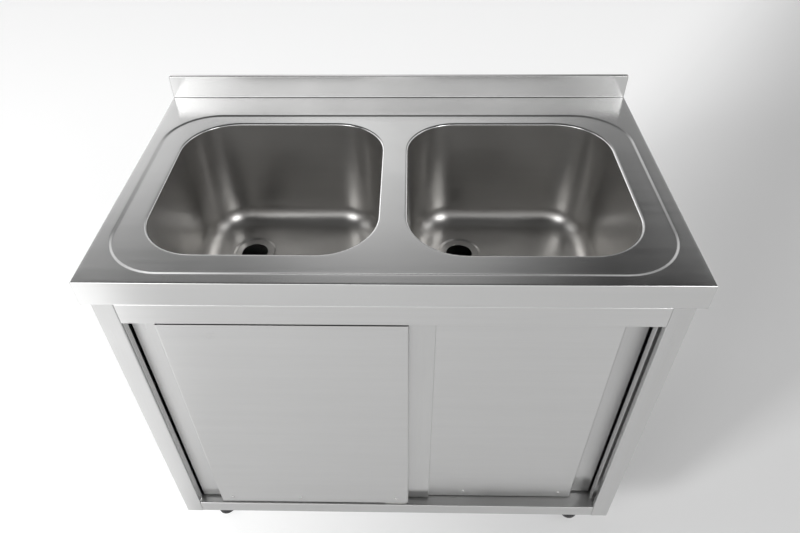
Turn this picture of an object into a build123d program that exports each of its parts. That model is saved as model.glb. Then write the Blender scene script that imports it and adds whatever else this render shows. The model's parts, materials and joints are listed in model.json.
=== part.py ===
from build123d import *
from math import radians, tan
import os

os.makedirs("parts", exist_ok=True)

# A free-standing stainless steel sink unit: a pressed worktop with two bowls on a cupboard with two
# sliding doors. Sizes are millimetres. +X is right, +Y is towards the wall and +Z is up; the origin is
# on the floor, under the middle of the worktop. The doors hang from rollers on two tracks behind the
# fascia, the left door on the front track and the right door on the rear track.

# ---- Driving dimensions: worktop ----------------------------------------------------------------
overall_width = 1000
overall_depth = 600
worktop_height = 850
worktop_gauge = 1.5
upstand_height = 50
upstand_thickness = 10
apron_height = 50
apron_flange = 22  # the apron's lower edge, folded in over the cupboard
field_width = 951  # the field round the bowls, sunk inside a stepped line
field_depth = 491
field_front = 21.5  # from the worktop's front edge
field_corner = 105
field_drop = 1.5
field_slope = 2.5
edge_radius = 1.2
stiffener_height = 25
stiffener_gauge = 1.5
front_stiffener_width = 28
rear_stiffener_gap = 5  # from the field's step and the upstand
stiffener_inset = 45  # from the worktop's ends
stiffener_gap = 2  # from the bowls' rims

# ---- Driving dimensions: bowls ------------------------------------------------------------------
bowl_width = 402
bowl_length = 407  # front to back
bowl_depth = 250
bowl_corner = 100
bowl_taper = 2  # degrees
bowl_floor_radius = 42
bowl_gauge = 1.2
bowl_rim = 9  # welding rim under the worktop
bowl_spacing = 452
bowl_front = 71  # from the worktop's front edge
drain_hole = 57
drain_recess = 89
drain_recess_depth = 4
drain_left = 88  # the drain lies this far left of the bowl's middle
drain_back = 81  # and this far behind it

# ---- Driving dimensions: cupboard ---------------------------------------------------------------
panel_gauge = 1.2
fold_radius = 1.5  # of a fold's middle line
side_overhang = 17
body_setback = 1  # the cupboard's front stands this far behind the apron's face
body_rear_gap = 10
body_clearance = 109  # from the floor to the cupboard
stile_width = 37
left_stile_return = 4
right_stile_return = 11
fascia_height = 45.5
fascia_return = 10
fascia_top_depth = 56
rail_height = 36  # the shelf's front fold
rail_return = 15
shelf_rear_fold = 20
seam = 0.5  # open line where the fascia and the rail meet the stiles
jamb_depth = 14.5
jamb_setback = 1.5  # behind its door's face
back_panel_fold = 15
base_rail_width = 50
base_rail_gauge = 1.5
base_rail_flange = 14
base_rail_end = 16  # from the cupboard's front and rear faces

# ---- Driving dimensions: doors ------------------------------------------------------------------
door_gauge = 1.0
door_width = 516
door_panel_width = 423
door_raise = 14  # how far the panel stands in front of the side strips
door_hem = 2  # how far the strips' edges are folded back
door_front = 5  # the front door's face, behind the worktop's front edge
door_pitch = 20  # from the front door's face to the rear door's face
door_edge_gap = 5  # from a closed door to its stile
door_floor_gap = 3  # from the shelf to the panel
strip_lift = 2.5  # the side strips end this far above the panel's lower edge
door_fascia_gap = 7  # from the fascia's lower edge to the panel's upper edge
door_band = 14.5  # the set-back band above the panel, behind the fascia
panel_foot = 3  # the panel's lower edge, folded in

# ---- Driving dimensions: hangers, rollers and tracks --------------------------------------------
hanger_gauge = 2
hanger_width = 40
hanger_corner = 4
hanger_spread = 400  # between a door's two hangers
hanger_seat = 11  # overlap of the hanger and the door's band
hanger_bolt_pitch = 24
hanger_bolt = 4
hanger_bolt_head = 7
hanger_bolt_head_height = 2.5
hanger_nut = 7.5
hanger_nut_height = 3
head_sides = 6  # of the bolts' heads and nuts and the leg screws' heads
hanger_top = 10  # above the axle
roller_radius = 10.5
roller_tread_radius = 8.5
roller_width = 7
roller_groove = 2.2
roller_side_gap = 0.5
axle_diameter = 5
axle_clearance = 0.05
axle_head = 9
axle_head_height = 2.5
axle_collar = 8
axle_collar_height = 1.8
bolt_clearance = 0.2
track_gauge = 1.2
track_lip = 5.6
track_web_gap = 1
rolling_clearance = 0.3
stop_length = 12
stop_height = 20
stop_gap = 0.4

# ---- Driving dimensions: door guides ------------------------------------------------------------
guide_wall = 1.5
guide_slot = 5.5
guide_channel_height = 27
guide_end_gap = 6  # from the panel's sides
fin_thickness = 4
fin_length = 40
fin_height = 11
guide_base_length = 50
guide_base_depth = 28
guide_base_height = 2
guide_base_corner = 3
guide_screw = 4
guide_screw_head = 7.4
guide_screw_pitch = 32
guide_screw_length = 9
rivet_height = 20  # above the panel's lower edge
rivet_spread = 184  # the outer rivets, from the door's middle
rivet_middle = -30
rivet_head = 7
rivet_head_height = 1.5
rivet_shank = 3.2
rivet_tail = 5.5
rivet_tail_height = 1.2

# ---- Driving dimensions: legs and feet ----------------------------------------------------------
leg_inset_x = 59  # from the cupboard's side to a leg's axis
leg_inset_y = 65  # from the cupboard's front or rear face
leg_flange = 58
leg_flange_height = 5
leg_tube = 31
leg_collar = 36
leg_collar_height = 9
leg_bore_end = 14  # solid above the bore
leg_rib = 1.2  # how far the ribs stand out
leg_rib_count = 4
leg_screw_circle = 46
leg_screw_count = 3
leg_screw_angle = 30  # of the first screw, from +X
leg_screw = 4
leg_screw_head = 7.5
leg_screw_head_height = 2.2
leg_screw_grip = 4  # beyond the base rail
foot_diameter = 40
foot_rim_height = 8
foot_neck = 24
foot_height = 20
foot_gap = 2
spindle_diameter = 12
spindle_length = 58
spindle_clearance = 0.05

# ---- Places worked out from them ----------------------------------------------------------------
front = -overall_depth / 2
rear = overall_depth / 2
apron_bottom = worktop_height - apron_height
field_top = worktop_height - field_drop
field_underside = field_top - worktop_gauge
field_middle = front + field_front + field_depth / 2
upstand_face = rear - upstand_thickness

bowl_middle = front + bowl_front + bowl_length / 2
bowl_floor = worktop_height - bowl_depth

body_half = overall_width / 2 - side_overhang
body_front = front + body_setback
body_rear = rear - body_rear_gap
opening_half = body_half - stile_width
rail_half = opening_half - seam
body_bottom = body_clearance
shelf_top = body_bottom + rail_height
shelf_underside = shelf_top - panel_gauge
fascia_bottom = apron_bottom - fascia_height

door_half = door_width / 2
door_middle = opening_half - door_edge_gap - door_half
door_thickness = door_raise + door_gauge + door_hem
door_panel_bottom = shelf_top + door_floor_gap
door_strip_bottom = door_panel_bottom + strip_lift
door_panel_top = fascia_bottom - door_fascia_gap
door_top = door_panel_top + door_band
front_door_face = front + door_front
rear_door_face = front_door_face + door_pitch

bend_room = 2 * fold_radius  # from a folded corner to where the sheet is flat again

# Distances behind a door's face
strip_face = door_raise
hanger_face = strip_face - hanger_gauge
roller_middle = strip_face + roller_side_gap + roller_width / 2
collar_face = roller_middle + roller_width / 2 + roller_side_gap
track_web = collar_face + axle_collar_height + track_web_gap
guide_middle = door_gauge + guide_wall + guide_slot / 2
guide_y = (front_door_face + rear_door_face) / 2 + guide_middle
guide_base_top = shelf_top + guide_base_height
guide_screw_places = ((-guide_screw_pitch / 2, guide_y), (guide_screw_pitch / 2, guide_y))
rivet_places = ((-rivet_spread, 0), (rivet_middle, 0), (rivet_spread, 0))

# Heights of the hanging gear
track_top = apron_bottom - panel_gauge
track_ledge = door_top + door_hem + track_gauge
track_lip_top = track_ledge + track_lip - track_gauge / 2
axle_height = track_lip_top + rolling_clearance + roller_tread_radius
hanger_bolt_height = door_top - hanger_seat / 2

leg_x = body_half - leg_inset_x
leg_y = (body_rear - body_front) / 2 - leg_inset_y
leg_centre_y = (body_rear + body_front) / 2
leg_bottom = foot_height + foot_gap


# ---- Helpers ------------------------------------------------------------------------------------
def save(piece, name):
    """Label a finished piece and write it to its own file."""
    piece.part.label = name
    export_step(piece.part, f"parts/{name}.step")


def folded_sheet(plane, points, gauge, length):
    """A sheet folded along points, which lie in the middle of its thickness, run along plane's normal."""
    with BuildPart() as sheet:
        with BuildSketch(plane):
            with BuildLine():
                FilletPolyline(*points, radius=fold_radius)
            trace(line_width=gauge)
        extrude(amount=length)
    return sheet


def facing_front(x, y, z):
    """A plane that faces the front, its own x to the right and its own y up."""
    return Plane(origin=(x, y, z), x_dir=(1, 0, 0), z_dir=(0, -1, 0))


def across(half_length):
    """A plane for a profile of depth and height that runs from the left end to the right end."""
    return Plane.YZ.offset(-half_length)


# ---- Worktop ------------------------------------------------------------------------------------
with BuildPart() as worktop:
    with BuildSketch(Plane.XY.offset(apron_bottom)):
        Rectangle(overall_width, overall_depth)
    extrude(amount=apron_height)
    with BuildSketch(Plane.XY.offset(worktop_height)):
        with Locations((0, rear - upstand_thickness / 2)):
            Rectangle(overall_width, upstand_thickness)
    extrude(amount=upstand_height)
    fillet(worktop.edges().filter_by(Axis.Z), radius=edge_radius)
    fillet(worktop.edges().filter_by(Axis.X).filter_by_position(Axis.Z, worktop_height, worktop_height)
           .sort_by(Axis.Y)[0], radius=edge_radius)
    # the hollow under the sheet, which goes on up inside the upstand
    inside_width = overall_width - 2 * worktop_gauge
    with BuildSketch(Plane.XY.offset(apron_bottom + worktop_gauge)):
        Rectangle(inside_width, overall_depth - 2 * worktop_gauge)
    extrude(amount=apron_height - 2 * worktop_gauge, mode=Mode.SUBTRACT)
    with BuildSketch(Plane.XY.offset(worktop_height - 2 * worktop_gauge)):
        with Locations((0, rear - upstand_thickness / 2)):
            Rectangle(inside_width, upstand_thickness - 2 * worktop_gauge)
    extrude(amount=upstand_height + worktop_gauge, mode=Mode.SUBTRACT)
    # the gap between the folded-in lower edges
    with BuildSketch(Plane.XY.offset(apron_bottom)):
        with Locations((0, (body_front + body_rear) / 2)):
            Rectangle(2 * (body_half - apron_flange), body_rear - body_front - 2 * apron_flange)
    extrude(amount=worktop_gauge, mode=Mode.SUBTRACT)
    # the sunk field, pressed down with a sloping edge
    with BuildSketch(Plane.XY.offset(field_underside)):
        with Locations((0, field_middle)):
            RectangleRounded(field_width + worktop_gauge, field_depth + worktop_gauge,
                             field_corner + worktop_gauge / 2)
    extrude(amount=worktop_gauge)
    with BuildSketch(Plane.XY.offset(field_top)):
        with Locations((0, field_middle)):
            RectangleRounded(field_width - 2 * field_slope, field_depth - 2 * field_slope,
                             field_corner - field_slope)
    with BuildSketch(Plane.XY.offset(worktop_height)):
        with Locations((0, field_middle)):
            RectangleRounded(field_width, field_depth, field_corner)
    loft(mode=Mode.SUBTRACT)
    # the bowls' mouths
    with BuildSketch(Plane.XY.offset(field_underside)):
        with Locations((-bowl_spacing / 2, bowl_middle), (bowl_spacing / 2, bowl_middle)):
            RectangleRounded(bowl_width, bowl_length, bowl_corner)
    extrude(amount=worktop_gauge, mode=Mode.SUBTRACT)
save(worktop, "worktop")


# ---- Bowls --------------------------------------------------------------------------------------
def tapered_block(plane, half_width, low, half_length):
    """A block as deep as the bowl whose two long sides lean in by the bowl's taper."""
    lean = (field_underside - low) * tan(radians(bowl_taper))
    with BuildPart() as block:
        with BuildSketch(plane):
            with BuildLine():
                Polyline(
                    (-half_width, field_underside),
                    (-half_width + lean, low),
                    (half_width - lean, low),
                    (half_width, field_underside),
                    close=True,
                )
            make_face()
        extrude(amount=half_length, both=True)
    return block


def bowl_form(middle_x, wall):
    """The bowl's hollow as a solid, its sides and floor moved out by wall."""
    low = bowl_floor - wall
    height = field_underside - low
    corner = bowl_corner + wall
    corner_x = bowl_width / 2 - bowl_corner
    corner_y = bowl_length / 2 - bowl_corner
    lean = height * tan(radians(bowl_taper))
    facing_x = Plane(origin=(middle_x, bowl_middle, 0), x_dir=(1, 0, 0), z_dir=(0, -1, 0))
    facing_y = Plane(origin=(middle_x, bowl_middle, 0), x_dir=(0, 1, 0), z_dir=(1, 0, 0))
    # two crossing blocks with a cone at each corner
    wide = tapered_block(facing_x, corner_x + corner, low, corner_y)
    long = tapered_block(facing_y, corner_y + corner, low, corner_x)
    with BuildPart() as form:
        with Locations((middle_x, bowl_middle, low)):
            with GridLocations(2 * corner_x, 2 * corner_y, 2, 2):
                Cone(corner - lean, corner, height, align=(Align.CENTER, Align.CENTER, Align.MIN))
        add(wide.part)
        add(long.part)
        fillet(form.faces().sort_by(Axis.Z)[0].edges(), radius=bowl_floor_radius + wall)
    return form


def drawn_bowl(middle_x):
    """A deep-drawn bowl: welding rim, tapered walls, rounded floor and a recess with the drain hole."""
    drain_place = (middle_x - drain_left, bowl_middle + drain_back)
    recess_floor = bowl_floor - drain_recess_depth
    outer_form = bowl_form(middle_x, bowl_gauge)
    inner_form = bowl_form(middle_x, 0)
    with BuildPart() as bowl:
        rim_width = bowl_width + 2 * bowl_rim
        rim_length = bowl_length + 2 * bowl_rim
        with BuildSketch(Plane.XY.offset(field_underside - bowl_gauge)):
            with Locations((middle_x, bowl_middle)):
                RectangleRounded(rim_width, rim_length, bowl_corner + bowl_rim)
        extrude(amount=bowl_gauge)
        add(outer_form.part)
        with BuildSketch(Plane.XY.offset(recess_floor - bowl_gauge)):
            with Locations(drain_place):
                Circle(drain_recess / 2 + bowl_gauge)
        extrude(amount=drain_recess_depth + bowl_gauge)
        add(inner_form.part, mode=Mode.SUBTRACT)
        with BuildSketch(Plane.XY.offset(recess_floor)):
            with Locations(drain_place):
                Circle(drain_recess / 2)
        extrude(amount=drain_recess_depth, mode=Mode.SUBTRACT)
        with BuildSketch(Plane.XY.offset(recess_floor - bowl_gauge)):
            with Locations(drain_place):
                Circle(drain_hole / 2)
        extrude(amount=bowl_gauge, mode=Mode.SUBTRACT)
    return bowl


left_bowl = drawn_bowl(-bowl_spacing / 2)
save(left_bowl, "left_bowl")

right_bowl = drawn_bowl(bowl_spacing / 2)
save(right_bowl, "right_bowl")


# ---- Worktop stiffeners -------------------------------------------------------------------------
def stiffener(middle_y, top, width):
    """An upward-open channel that stiffens the worktop, its two edges against the underside."""
    half = (width - stiffener_gauge) / 2
    low = top - stiffener_height + stiffener_gauge / 2
    near = middle_y - half
    far = middle_y + half
    points = [(near, top), (near, low), (far, low), (far, top)]
    half_length = overall_width / 2 - stiffener_inset
    return folded_sheet(across(half_length), points, stiffener_gauge, 2 * half_length)


front_stiffener_rear = front + bowl_front - bowl_rim - stiffener_gap
front_stiffener_middle = front_stiffener_rear - front_stiffener_width / 2
front_stiffener = stiffener(front_stiffener_middle, field_underside, front_stiffener_width)
save(front_stiffener, "front_stiffener")

field_rear = front + field_front + field_depth
rear_strip_middle = (field_rear + upstand_face) / 2
rear_stiffener_width = upstand_face - field_rear - 2 * rear_stiffener_gap
rear_stiffener = stiffener(rear_strip_middle, worktop_height - worktop_gauge, rear_stiffener_width)
save(rear_stiffener, "rear_stiffener")


# ---- Side panels, with the stiles folded at their ends --------------------------------------------
def side_panel(side, front_return):
    """A side panel: its front return, stile, side and rear fold are one folded sheet."""
    half = panel_gauge / 2
    outer = side * (body_half - half)
    inner = side * (opening_half + half)
    points = [
        (inner, body_front + front_return),
        (inner, body_front + half),
        (outer, body_front + half),
        (outer, body_rear - half),
        (inner, body_rear - half),
    ]
    return folded_sheet(Plane.XY.offset(body_bottom), points, panel_gauge, apron_bottom - body_bottom)


left_side_panel = side_panel(-1, left_stile_return)
save(left_side_panel, "left_side_panel")

right_side_panel = side_panel(1, right_stile_return)
save(right_side_panel, "right_side_panel")

# ---- Fascia, folded back at the top to carry the tracks -------------------------------------------
fascia_middle = panel_gauge / 2
fascia = folded_sheet(
    across(rail_half),
    [
        (body_front + fascia_top_depth, apron_bottom - fascia_middle),
        (body_front + fascia_middle, apron_bottom - fascia_middle),
        (body_front + fascia_middle, fascia_bottom + fascia_middle),
        (body_front + fascia_return, fascia_bottom + fascia_middle),
    ],
    panel_gauge,
    2 * rail_half,
)
save(fascia, "fascia")

# ---- Bottom shelf, whose front fold is the bottom rail --------------------------------------------
shelf_rear = body_rear - 2 * panel_gauge
stile_clear = body_front + max(left_stile_return, right_stile_return) + panel_gauge
wing_rear = shelf_rear - bend_room
with BuildPart() as bottom_shelf:
    with BuildSketch(across(rail_half)):
        with BuildLine():
            FilletPolyline(
                (body_front + rail_return, body_bottom + panel_gauge / 2),
                (body_front + panel_gauge / 2, body_bottom + panel_gauge / 2),
                (body_front + panel_gauge / 2, shelf_top - panel_gauge / 2),
                (shelf_rear - panel_gauge / 2, shelf_top - panel_gauge / 2),
                (shelf_rear - panel_gauge / 2, shelf_top - shelf_rear_fold),
                radius=fold_radius,
            )
        trace(line_width=panel_gauge)
    extrude(amount=2 * rail_half)
    # behind the stiles the shelf reaches the side panels
    with BuildSketch(Plane.XY.offset(shelf_underside)):
        with Locations((0, (stile_clear + wing_rear) / 2)):
            Rectangle(2 * (body_half - panel_gauge), wing_rear - stile_clear)
    extrude(amount=panel_gauge)
    with BuildSketch(Plane.XY.offset(shelf_underside)):
        with Locations(*guide_screw_places):
            Circle(guide_screw / 2)
    extrude(amount=panel_gauge, mode=Mode.SUBTRACT)
save(bottom_shelf, "bottom_shelf")

# ---- Back panel -----------------------------------------------------------------------------------
back_panel_face = body_rear - panel_gauge
back_half = body_half - stile_width / 2
with BuildPart() as back_panel:
    with BuildSketch(Plane.XZ.offset(-back_panel_face)):
        with Locations((0, (body_bottom + apron_bottom) / 2)):
            Rectangle(2 * back_half, apron_bottom - body_bottom)
    extrude(amount=panel_gauge)
    with BuildSketch(Plane.XY.offset(apron_bottom - panel_gauge)):
        with Locations((0, back_panel_face - back_panel_fold / 2)):
            Rectangle(2 * rail_half, back_panel_fold)
    extrude(amount=panel_gauge)
save(back_panel, "back_panel")


# ---- Jamb channels, which the closed doors stand against -------------------------------------------
def jamb(side, door_face):
    """An upright channel behind a stile, its web towards the door and its edges on the side panel."""
    half = panel_gauge / 2
    web = side * (opening_half + panel_gauge + half)
    wall = side * (body_half - panel_gauge)
    near = door_face + jamb_setback + half
    far = near + jamb_depth - panel_gauge
    points = [(wall, near), (web, near), (web, far), (wall, far)]
    return folded_sheet(Plane.XY.offset(shelf_top), points, panel_gauge, apron_bottom - shelf_top)


left_jamb = jamb(-1, front_door_face)
save(left_jamb, "left_jamb")

right_jamb = jamb(1, rear_door_face)
save(right_jamb, "right_jamb")


# ---- Door tracks ------------------------------------------------------------------------------------
def door_track(door_face):
    """A C-shaped track: the lip on its front lower edge carries the grooved rollers."""
    half = track_gauge / 2
    lip = door_face + roller_middle
    web = door_face + track_web + half
    points = [
        (door_face + strip_face, track_top - half),
        (web, track_top - half),
        (web, track_ledge - half),
        (lip, track_ledge - half),
        (lip, track_lip_top),
    ]
    return folded_sheet(across(rail_half), points, track_gauge, 2 * rail_half)


front_track = door_track(front_door_face)
save(front_track, "front_track")

rear_track = door_track(rear_door_face)
save(rear_track, "rear_track")


def track_stops(door_face):
    """Two rubber blocks in a track, which its rollers meet at both ends of the door's way."""
    reach = door_middle + hanger_spread / 2 + roller_radius + stop_gap + stop_length / 2
    near = door_face + roller_middle + track_gauge / 2 + stop_gap
    far = door_face + track_web
    with BuildPart() as stops:
        with BuildSketch(Plane.XY.offset(track_ledge)):
            with Locations((-reach, (near + far) / 2), (reach, (near + far) / 2)):
                Rectangle(stop_length, far - near)
        extrude(amount=stop_height)
        fillet(stops.edges().filter_by(Axis.X), radius=fold_radius)
    return stops


front_track_stops = track_stops(front_door_face)
save(front_track_stops, "front_track_stops")

rear_track_stops = track_stops(rear_door_face)
save(rear_track_stops, "rear_track_stops")


# ---- Doors --------------------------------------------------------------------------------------------
def door_front_skin(middle_x, face):
    """The door's front: a raised panel between two set-back strips whose edges are folded back."""
    half = door_half - door_gauge / 2
    panel = door_panel_width / 2 - door_gauge / 2
    strip = strip_face + door_gauge / 2
    outline = [
        (-half, door_thickness),
        (-half, strip),
        (-panel, strip),
        (-panel, door_gauge / 2),
        (panel, door_gauge / 2),
        (panel, strip),
        (half, strip),
        (half, door_thickness),
    ]
    strip_width = (door_width - door_panel_width) / 2
    strip_middle = (door_width + door_panel_width) / 4
    band_width = door_panel_width + 2 * bend_room
    with BuildPart() as skin:
        with BuildSketch(Plane((middle_x, face, door_panel_bottom))):
            with BuildLine():
                FilletPolyline(*outline, radius=fold_radius)
            trace(line_width=door_gauge)
        extrude(amount=door_top - door_panel_bottom)
        # above the panel only the set-back band goes on
        with BuildSketch(Plane((middle_x, face, door_panel_top))):
            with Locations((0, strip_face / 2)):
                Rectangle(band_width, strip_face)
        extrude(amount=door_band, mode=Mode.SUBTRACT)
        with BuildSketch(Plane((middle_x, face, door_panel_top))):
            with Locations((0, strip)):
                Rectangle(band_width, door_gauge)
        extrude(amount=door_band)
        with BuildSketch(Plane((middle_x, face, door_panel_top))):
            with Locations((0, (strip_face + door_gauge) / 2)):
                Rectangle(door_panel_width - bend_room, strip_face + door_gauge)
        extrude(amount=-door_gauge)
        # the panel's lower edge is folded in, and the strips end a little higher
        with BuildSketch(Plane((middle_x, face, door_panel_bottom))):
            with Locations((0, panel_foot / 2)):
                Rectangle(door_panel_width - 2 * bend_room, panel_foot)
        extrude(amount=door_gauge)
        with BuildSketch(Plane((middle_x, face, door_panel_bottom))):
            with Locations((-strip_middle, door_thickness / 2), (strip_middle, door_thickness / 2)):
                Rectangle(strip_width, door_thickness)
        extrude(amount=strip_lift, mode=Mode.SUBTRACT)
        with BuildSketch(facing_front(middle_x, face + strip_face + door_gauge, hanger_bolt_height)):
            with Locations((-hanger_spread / 2, 0), (hanger_spread / 2, 0)):
                with GridLocations(hanger_bolt_pitch, 0, 2, 1):
                    Circle(hanger_bolt / 2 + bolt_clearance)
        extrude(amount=door_gauge, mode=Mode.SUBTRACT)
        with BuildSketch(facing_front(middle_x, face + door_gauge, door_panel_bottom + rivet_height)):
            with Locations(*rivet_places):
                Circle(rivet_shank / 2)
        extrude(amount=door_gauge, mode=Mode.SUBTRACT)
    return skin


def door_back_skin(middle_x, face):
    """The flat sheet that closes the door's back, between the folded edges of the front."""
    inside = door_width - bend_room - door_gauge
    back = face + strip_face + door_gauge
    with BuildPart() as skin:
        with BuildSketch(Plane((middle_x, back, door_strip_bottom))):
            with Locations((0, door_gauge / 2)):
                Rectangle(inside, door_gauge)
        extrude(amount=door_top - door_strip_bottom)
        with BuildSketch(facing_front(middle_x, back + door_gauge, hanger_bolt_height)):
            with Locations((-hanger_spread / 2, 0), (hanger_spread / 2, 0)):
                with GridLocations(hanger_bolt_pitch, 0, 2, 1):
                    Circle(hanger_bolt / 2 + bolt_clearance)
        extrude(amount=door_gauge, mode=Mode.SUBTRACT)
    return skin


def door_hangers(middle_x, face):
    """Two plates on the door's upper band, each with the hole for its roller's axle."""
    low = door_top - hanger_seat
    high = axle_height + hanger_top
    with BuildPart() as hangers:
        with BuildSketch(facing_front(middle_x, face + strip_face, 0)):
            with Locations((-hanger_spread / 2, 0), (hanger_spread / 2, 0)):
                with Locations((0, (low + high) / 2)):
                    RectangleRounded(hanger_width, high - low, hanger_corner)
                with Locations((0, axle_height)):
                    Circle(axle_diameter / 2, mode=Mode.SUBTRACT)
                with Locations((0, hanger_bolt_height)):
                    with GridLocations(hanger_bolt_pitch, 0, 2, 1):
                        Circle(hanger_bolt / 2 + bolt_clearance, mode=Mode.SUBTRACT)
        extrude(amount=hanger_gauge)
    return hangers


def hanger_bolts(middle_x, face):
    """Four bolts with their nuts, which hold the two hangers to the door's skins."""
    nut = face + strip_face + 2 * door_gauge
    with BuildPart() as bolts:
        for end, across_corners, length in (
            (face + hanger_face, hanger_bolt_head, hanger_bolt_head_height),
            (nut + hanger_nut_height, hanger_nut, hanger_nut_height),
        ):
            with BuildSketch(facing_front(middle_x, end, hanger_bolt_height)):
                with Locations((-hanger_spread / 2, 0), (hanger_spread / 2, 0)):
                    with GridLocations(hanger_bolt_pitch, 0, 2, 1):
                        RegularPolygon(across_corners / 2, head_sides)
            extrude(amount=length)
        with BuildSketch(facing_front(middle_x, nut, hanger_bolt_height)):
            with Locations((-hanger_spread / 2, 0), (hanger_spread / 2, 0)):
                with GridLocations(hanger_bolt_pitch, 0, 2, 1):
                    Circle(hanger_bolt / 2)
        extrude(amount=nut - face - hanger_face)
    return bolts


def roller_axles(middle_x, face):
    """Two headed axles, each with a riveted collar behind its roller."""
    head = face + hanger_face - axle_head_height
    collar_end = face + collar_face + axle_collar_height
    with BuildPart() as axles:
        for end, radius, length in (
            (face + hanger_face, axle_head / 2, axle_head_height),
            (collar_end, axle_diameter / 2, collar_end - head),
            (collar_end, axle_collar / 2, axle_collar_height),
        ):
            with BuildSketch(facing_front(middle_x, end, axle_height)):
                with Locations((-hanger_spread / 2, 0), (hanger_spread / 2, 0)):
                    Circle(radius)
            extrude(amount=length)
    return axles


def roller(middle_x, face):
    """A nylon roller, turned with the groove that holds it on the track's lip."""
    middle_y = face + roller_middle
    bore = axle_diameter / 2 + axle_clearance
    half = roller_width / 2
    with BuildPart() as wheel:
        with BuildSketch(Plane((middle_x, middle_y, axle_height))):
            with BuildLine():
                Polyline(
                    (bore, -half),
                    (roller_radius, -half),
                    (roller_radius, -roller_groove / 2),
                    (roller_tread_radius, -roller_groove / 2),
                    (roller_tread_radius, roller_groove / 2),
                    (roller_radius, roller_groove / 2),
                    (roller_radius, half),
                    (bore, half),
                    close=True,
                )
            make_face()
        revolve(axis=Axis((middle_x, middle_y, axle_height), (0, 1, 0)))
    return wheel


def guide_channel(middle_x, face):
    """The inverted channel in the door's lower edge, in which the guide's fin stands."""
    half = guide_slot / 2 + guide_wall
    low = door_strip_bottom
    high = low + guide_channel_height
    half_length = door_panel_width / 2 - guide_end_gap
    middle_y = face + guide_middle
    with BuildPart() as channel:
        with BuildSketch(Plane.YZ.offset(middle_x - half_length)):
            with BuildLine():
                Polyline(
                    (middle_y - half, low),
                    (middle_y - half, high),
                    (middle_y + half, high),
                    (middle_y + half, low),
                    (middle_y + guide_slot / 2, low),
                    (middle_y + guide_slot / 2, high - guide_wall),
                    (middle_y - guide_slot / 2, high - guide_wall),
                    (middle_y - guide_slot / 2, low),
                    close=True,
                )
            make_face()
        extrude(amount=2 * half_length)
        with BuildSketch(facing_front(middle_x, middle_y, door_panel_bottom + rivet_height)):
            with Locations(*rivet_places):
                Circle(rivet_shank / 2)
        extrude(amount=half, mode=Mode.SUBTRACT)
    return channel


def door_rivets(middle_x, face):
    """Three rivets through the panel and the guide channel's front wall."""
    tail_face = face + door_gauge + guide_wall
    tail_end = tail_face + rivet_tail_height
    head_face = face - rivet_head_height
    with BuildPart() as rivets:
        for end, radius, length in (
            (face, rivet_head / 2, rivet_head_height),
            (tail_end, rivet_shank / 2, tail_end - head_face),
            (tail_end, rivet_tail / 2, rivet_tail_height),
        ):
            with BuildSketch(facing_front(middle_x, end, door_panel_bottom + rivet_height)):
                with Locations(*rivet_places):
                    Circle(radius)
            extrude(amount=length)
        chamfer(rivets.edges().filter_by(GeomType.CIRCLE).group_by(Axis.Y)[0], length=rivet_head_height / 2)
    return rivets


for name, middle, face in (("left", -door_middle, front_door_face), ("right", door_middle, rear_door_face)):
    front_skin = door_front_skin(middle, face)
    save(front_skin, f"{name}_door_front_skin")
    back_skin = door_back_skin(middle, face)
    save(back_skin, f"{name}_door_back_skin")
    hangers = door_hangers(middle, face)
    save(hangers, f"{name}_door_hangers")
    bolts = hanger_bolts(middle, face)
    save(bolts, f"{name}_door_hanger_bolts")
    axles = roller_axles(middle, face)
    save(axles, f"{name}_door_roller_axles")
    left_roller = roller(middle - hanger_spread / 2, face)
    save(left_roller, f"{name}_door_left_roller")
    right_roller = roller(middle + hanger_spread / 2, face)
    save(right_roller, f"{name}_door_right_roller")
    channel = guide_channel(middle, face)
    save(channel, f"{name}_door_guide_channel")
    rivets = door_rivets(middle, face)
    save(rivets, f"{name}_door_rivets")

# ---- Centre guide: one fin under each door ----------------------------------------------------------
with BuildPart() as centre_guide:
    with BuildSketch(Plane.XY.offset(shelf_top)):
        with Locations((0, guide_y)):
            RectangleRounded(guide_base_length, guide_base_depth, guide_base_corner)
    extrude(amount=guide_base_height)
    with BuildSketch(Plane.XY.offset(guide_base_top)):
        with Locations((0, guide_y - door_pitch / 2), (0, guide_y + door_pitch / 2)):
            SlotOverall(fin_length, fin_thickness)
    extrude(amount=fin_height)
    with Locations(Plane.XY.offset(guide_base_top)):
        with Locations(*guide_screw_places):
            CounterSinkHole(guide_screw / 2, guide_screw_head / 2, depth=guide_base_height)
save(centre_guide, "centre_guide")

guide_cone = (guide_screw_head - guide_screw) / 2
hung = (Align.CENTER, Align.CENTER, Align.MAX)
with BuildPart() as centre_guide_screws:
    with Locations(Plane.XY.offset(guide_base_top)):
        with Locations(*guide_screw_places):
            Cylinder(guide_screw / 2, guide_screw_length, align=hung)
            Cone(guide_screw / 2, guide_screw_head / 2, guide_cone, align=hung)
save(centre_guide_screws, "centre_guide_screws")


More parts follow.
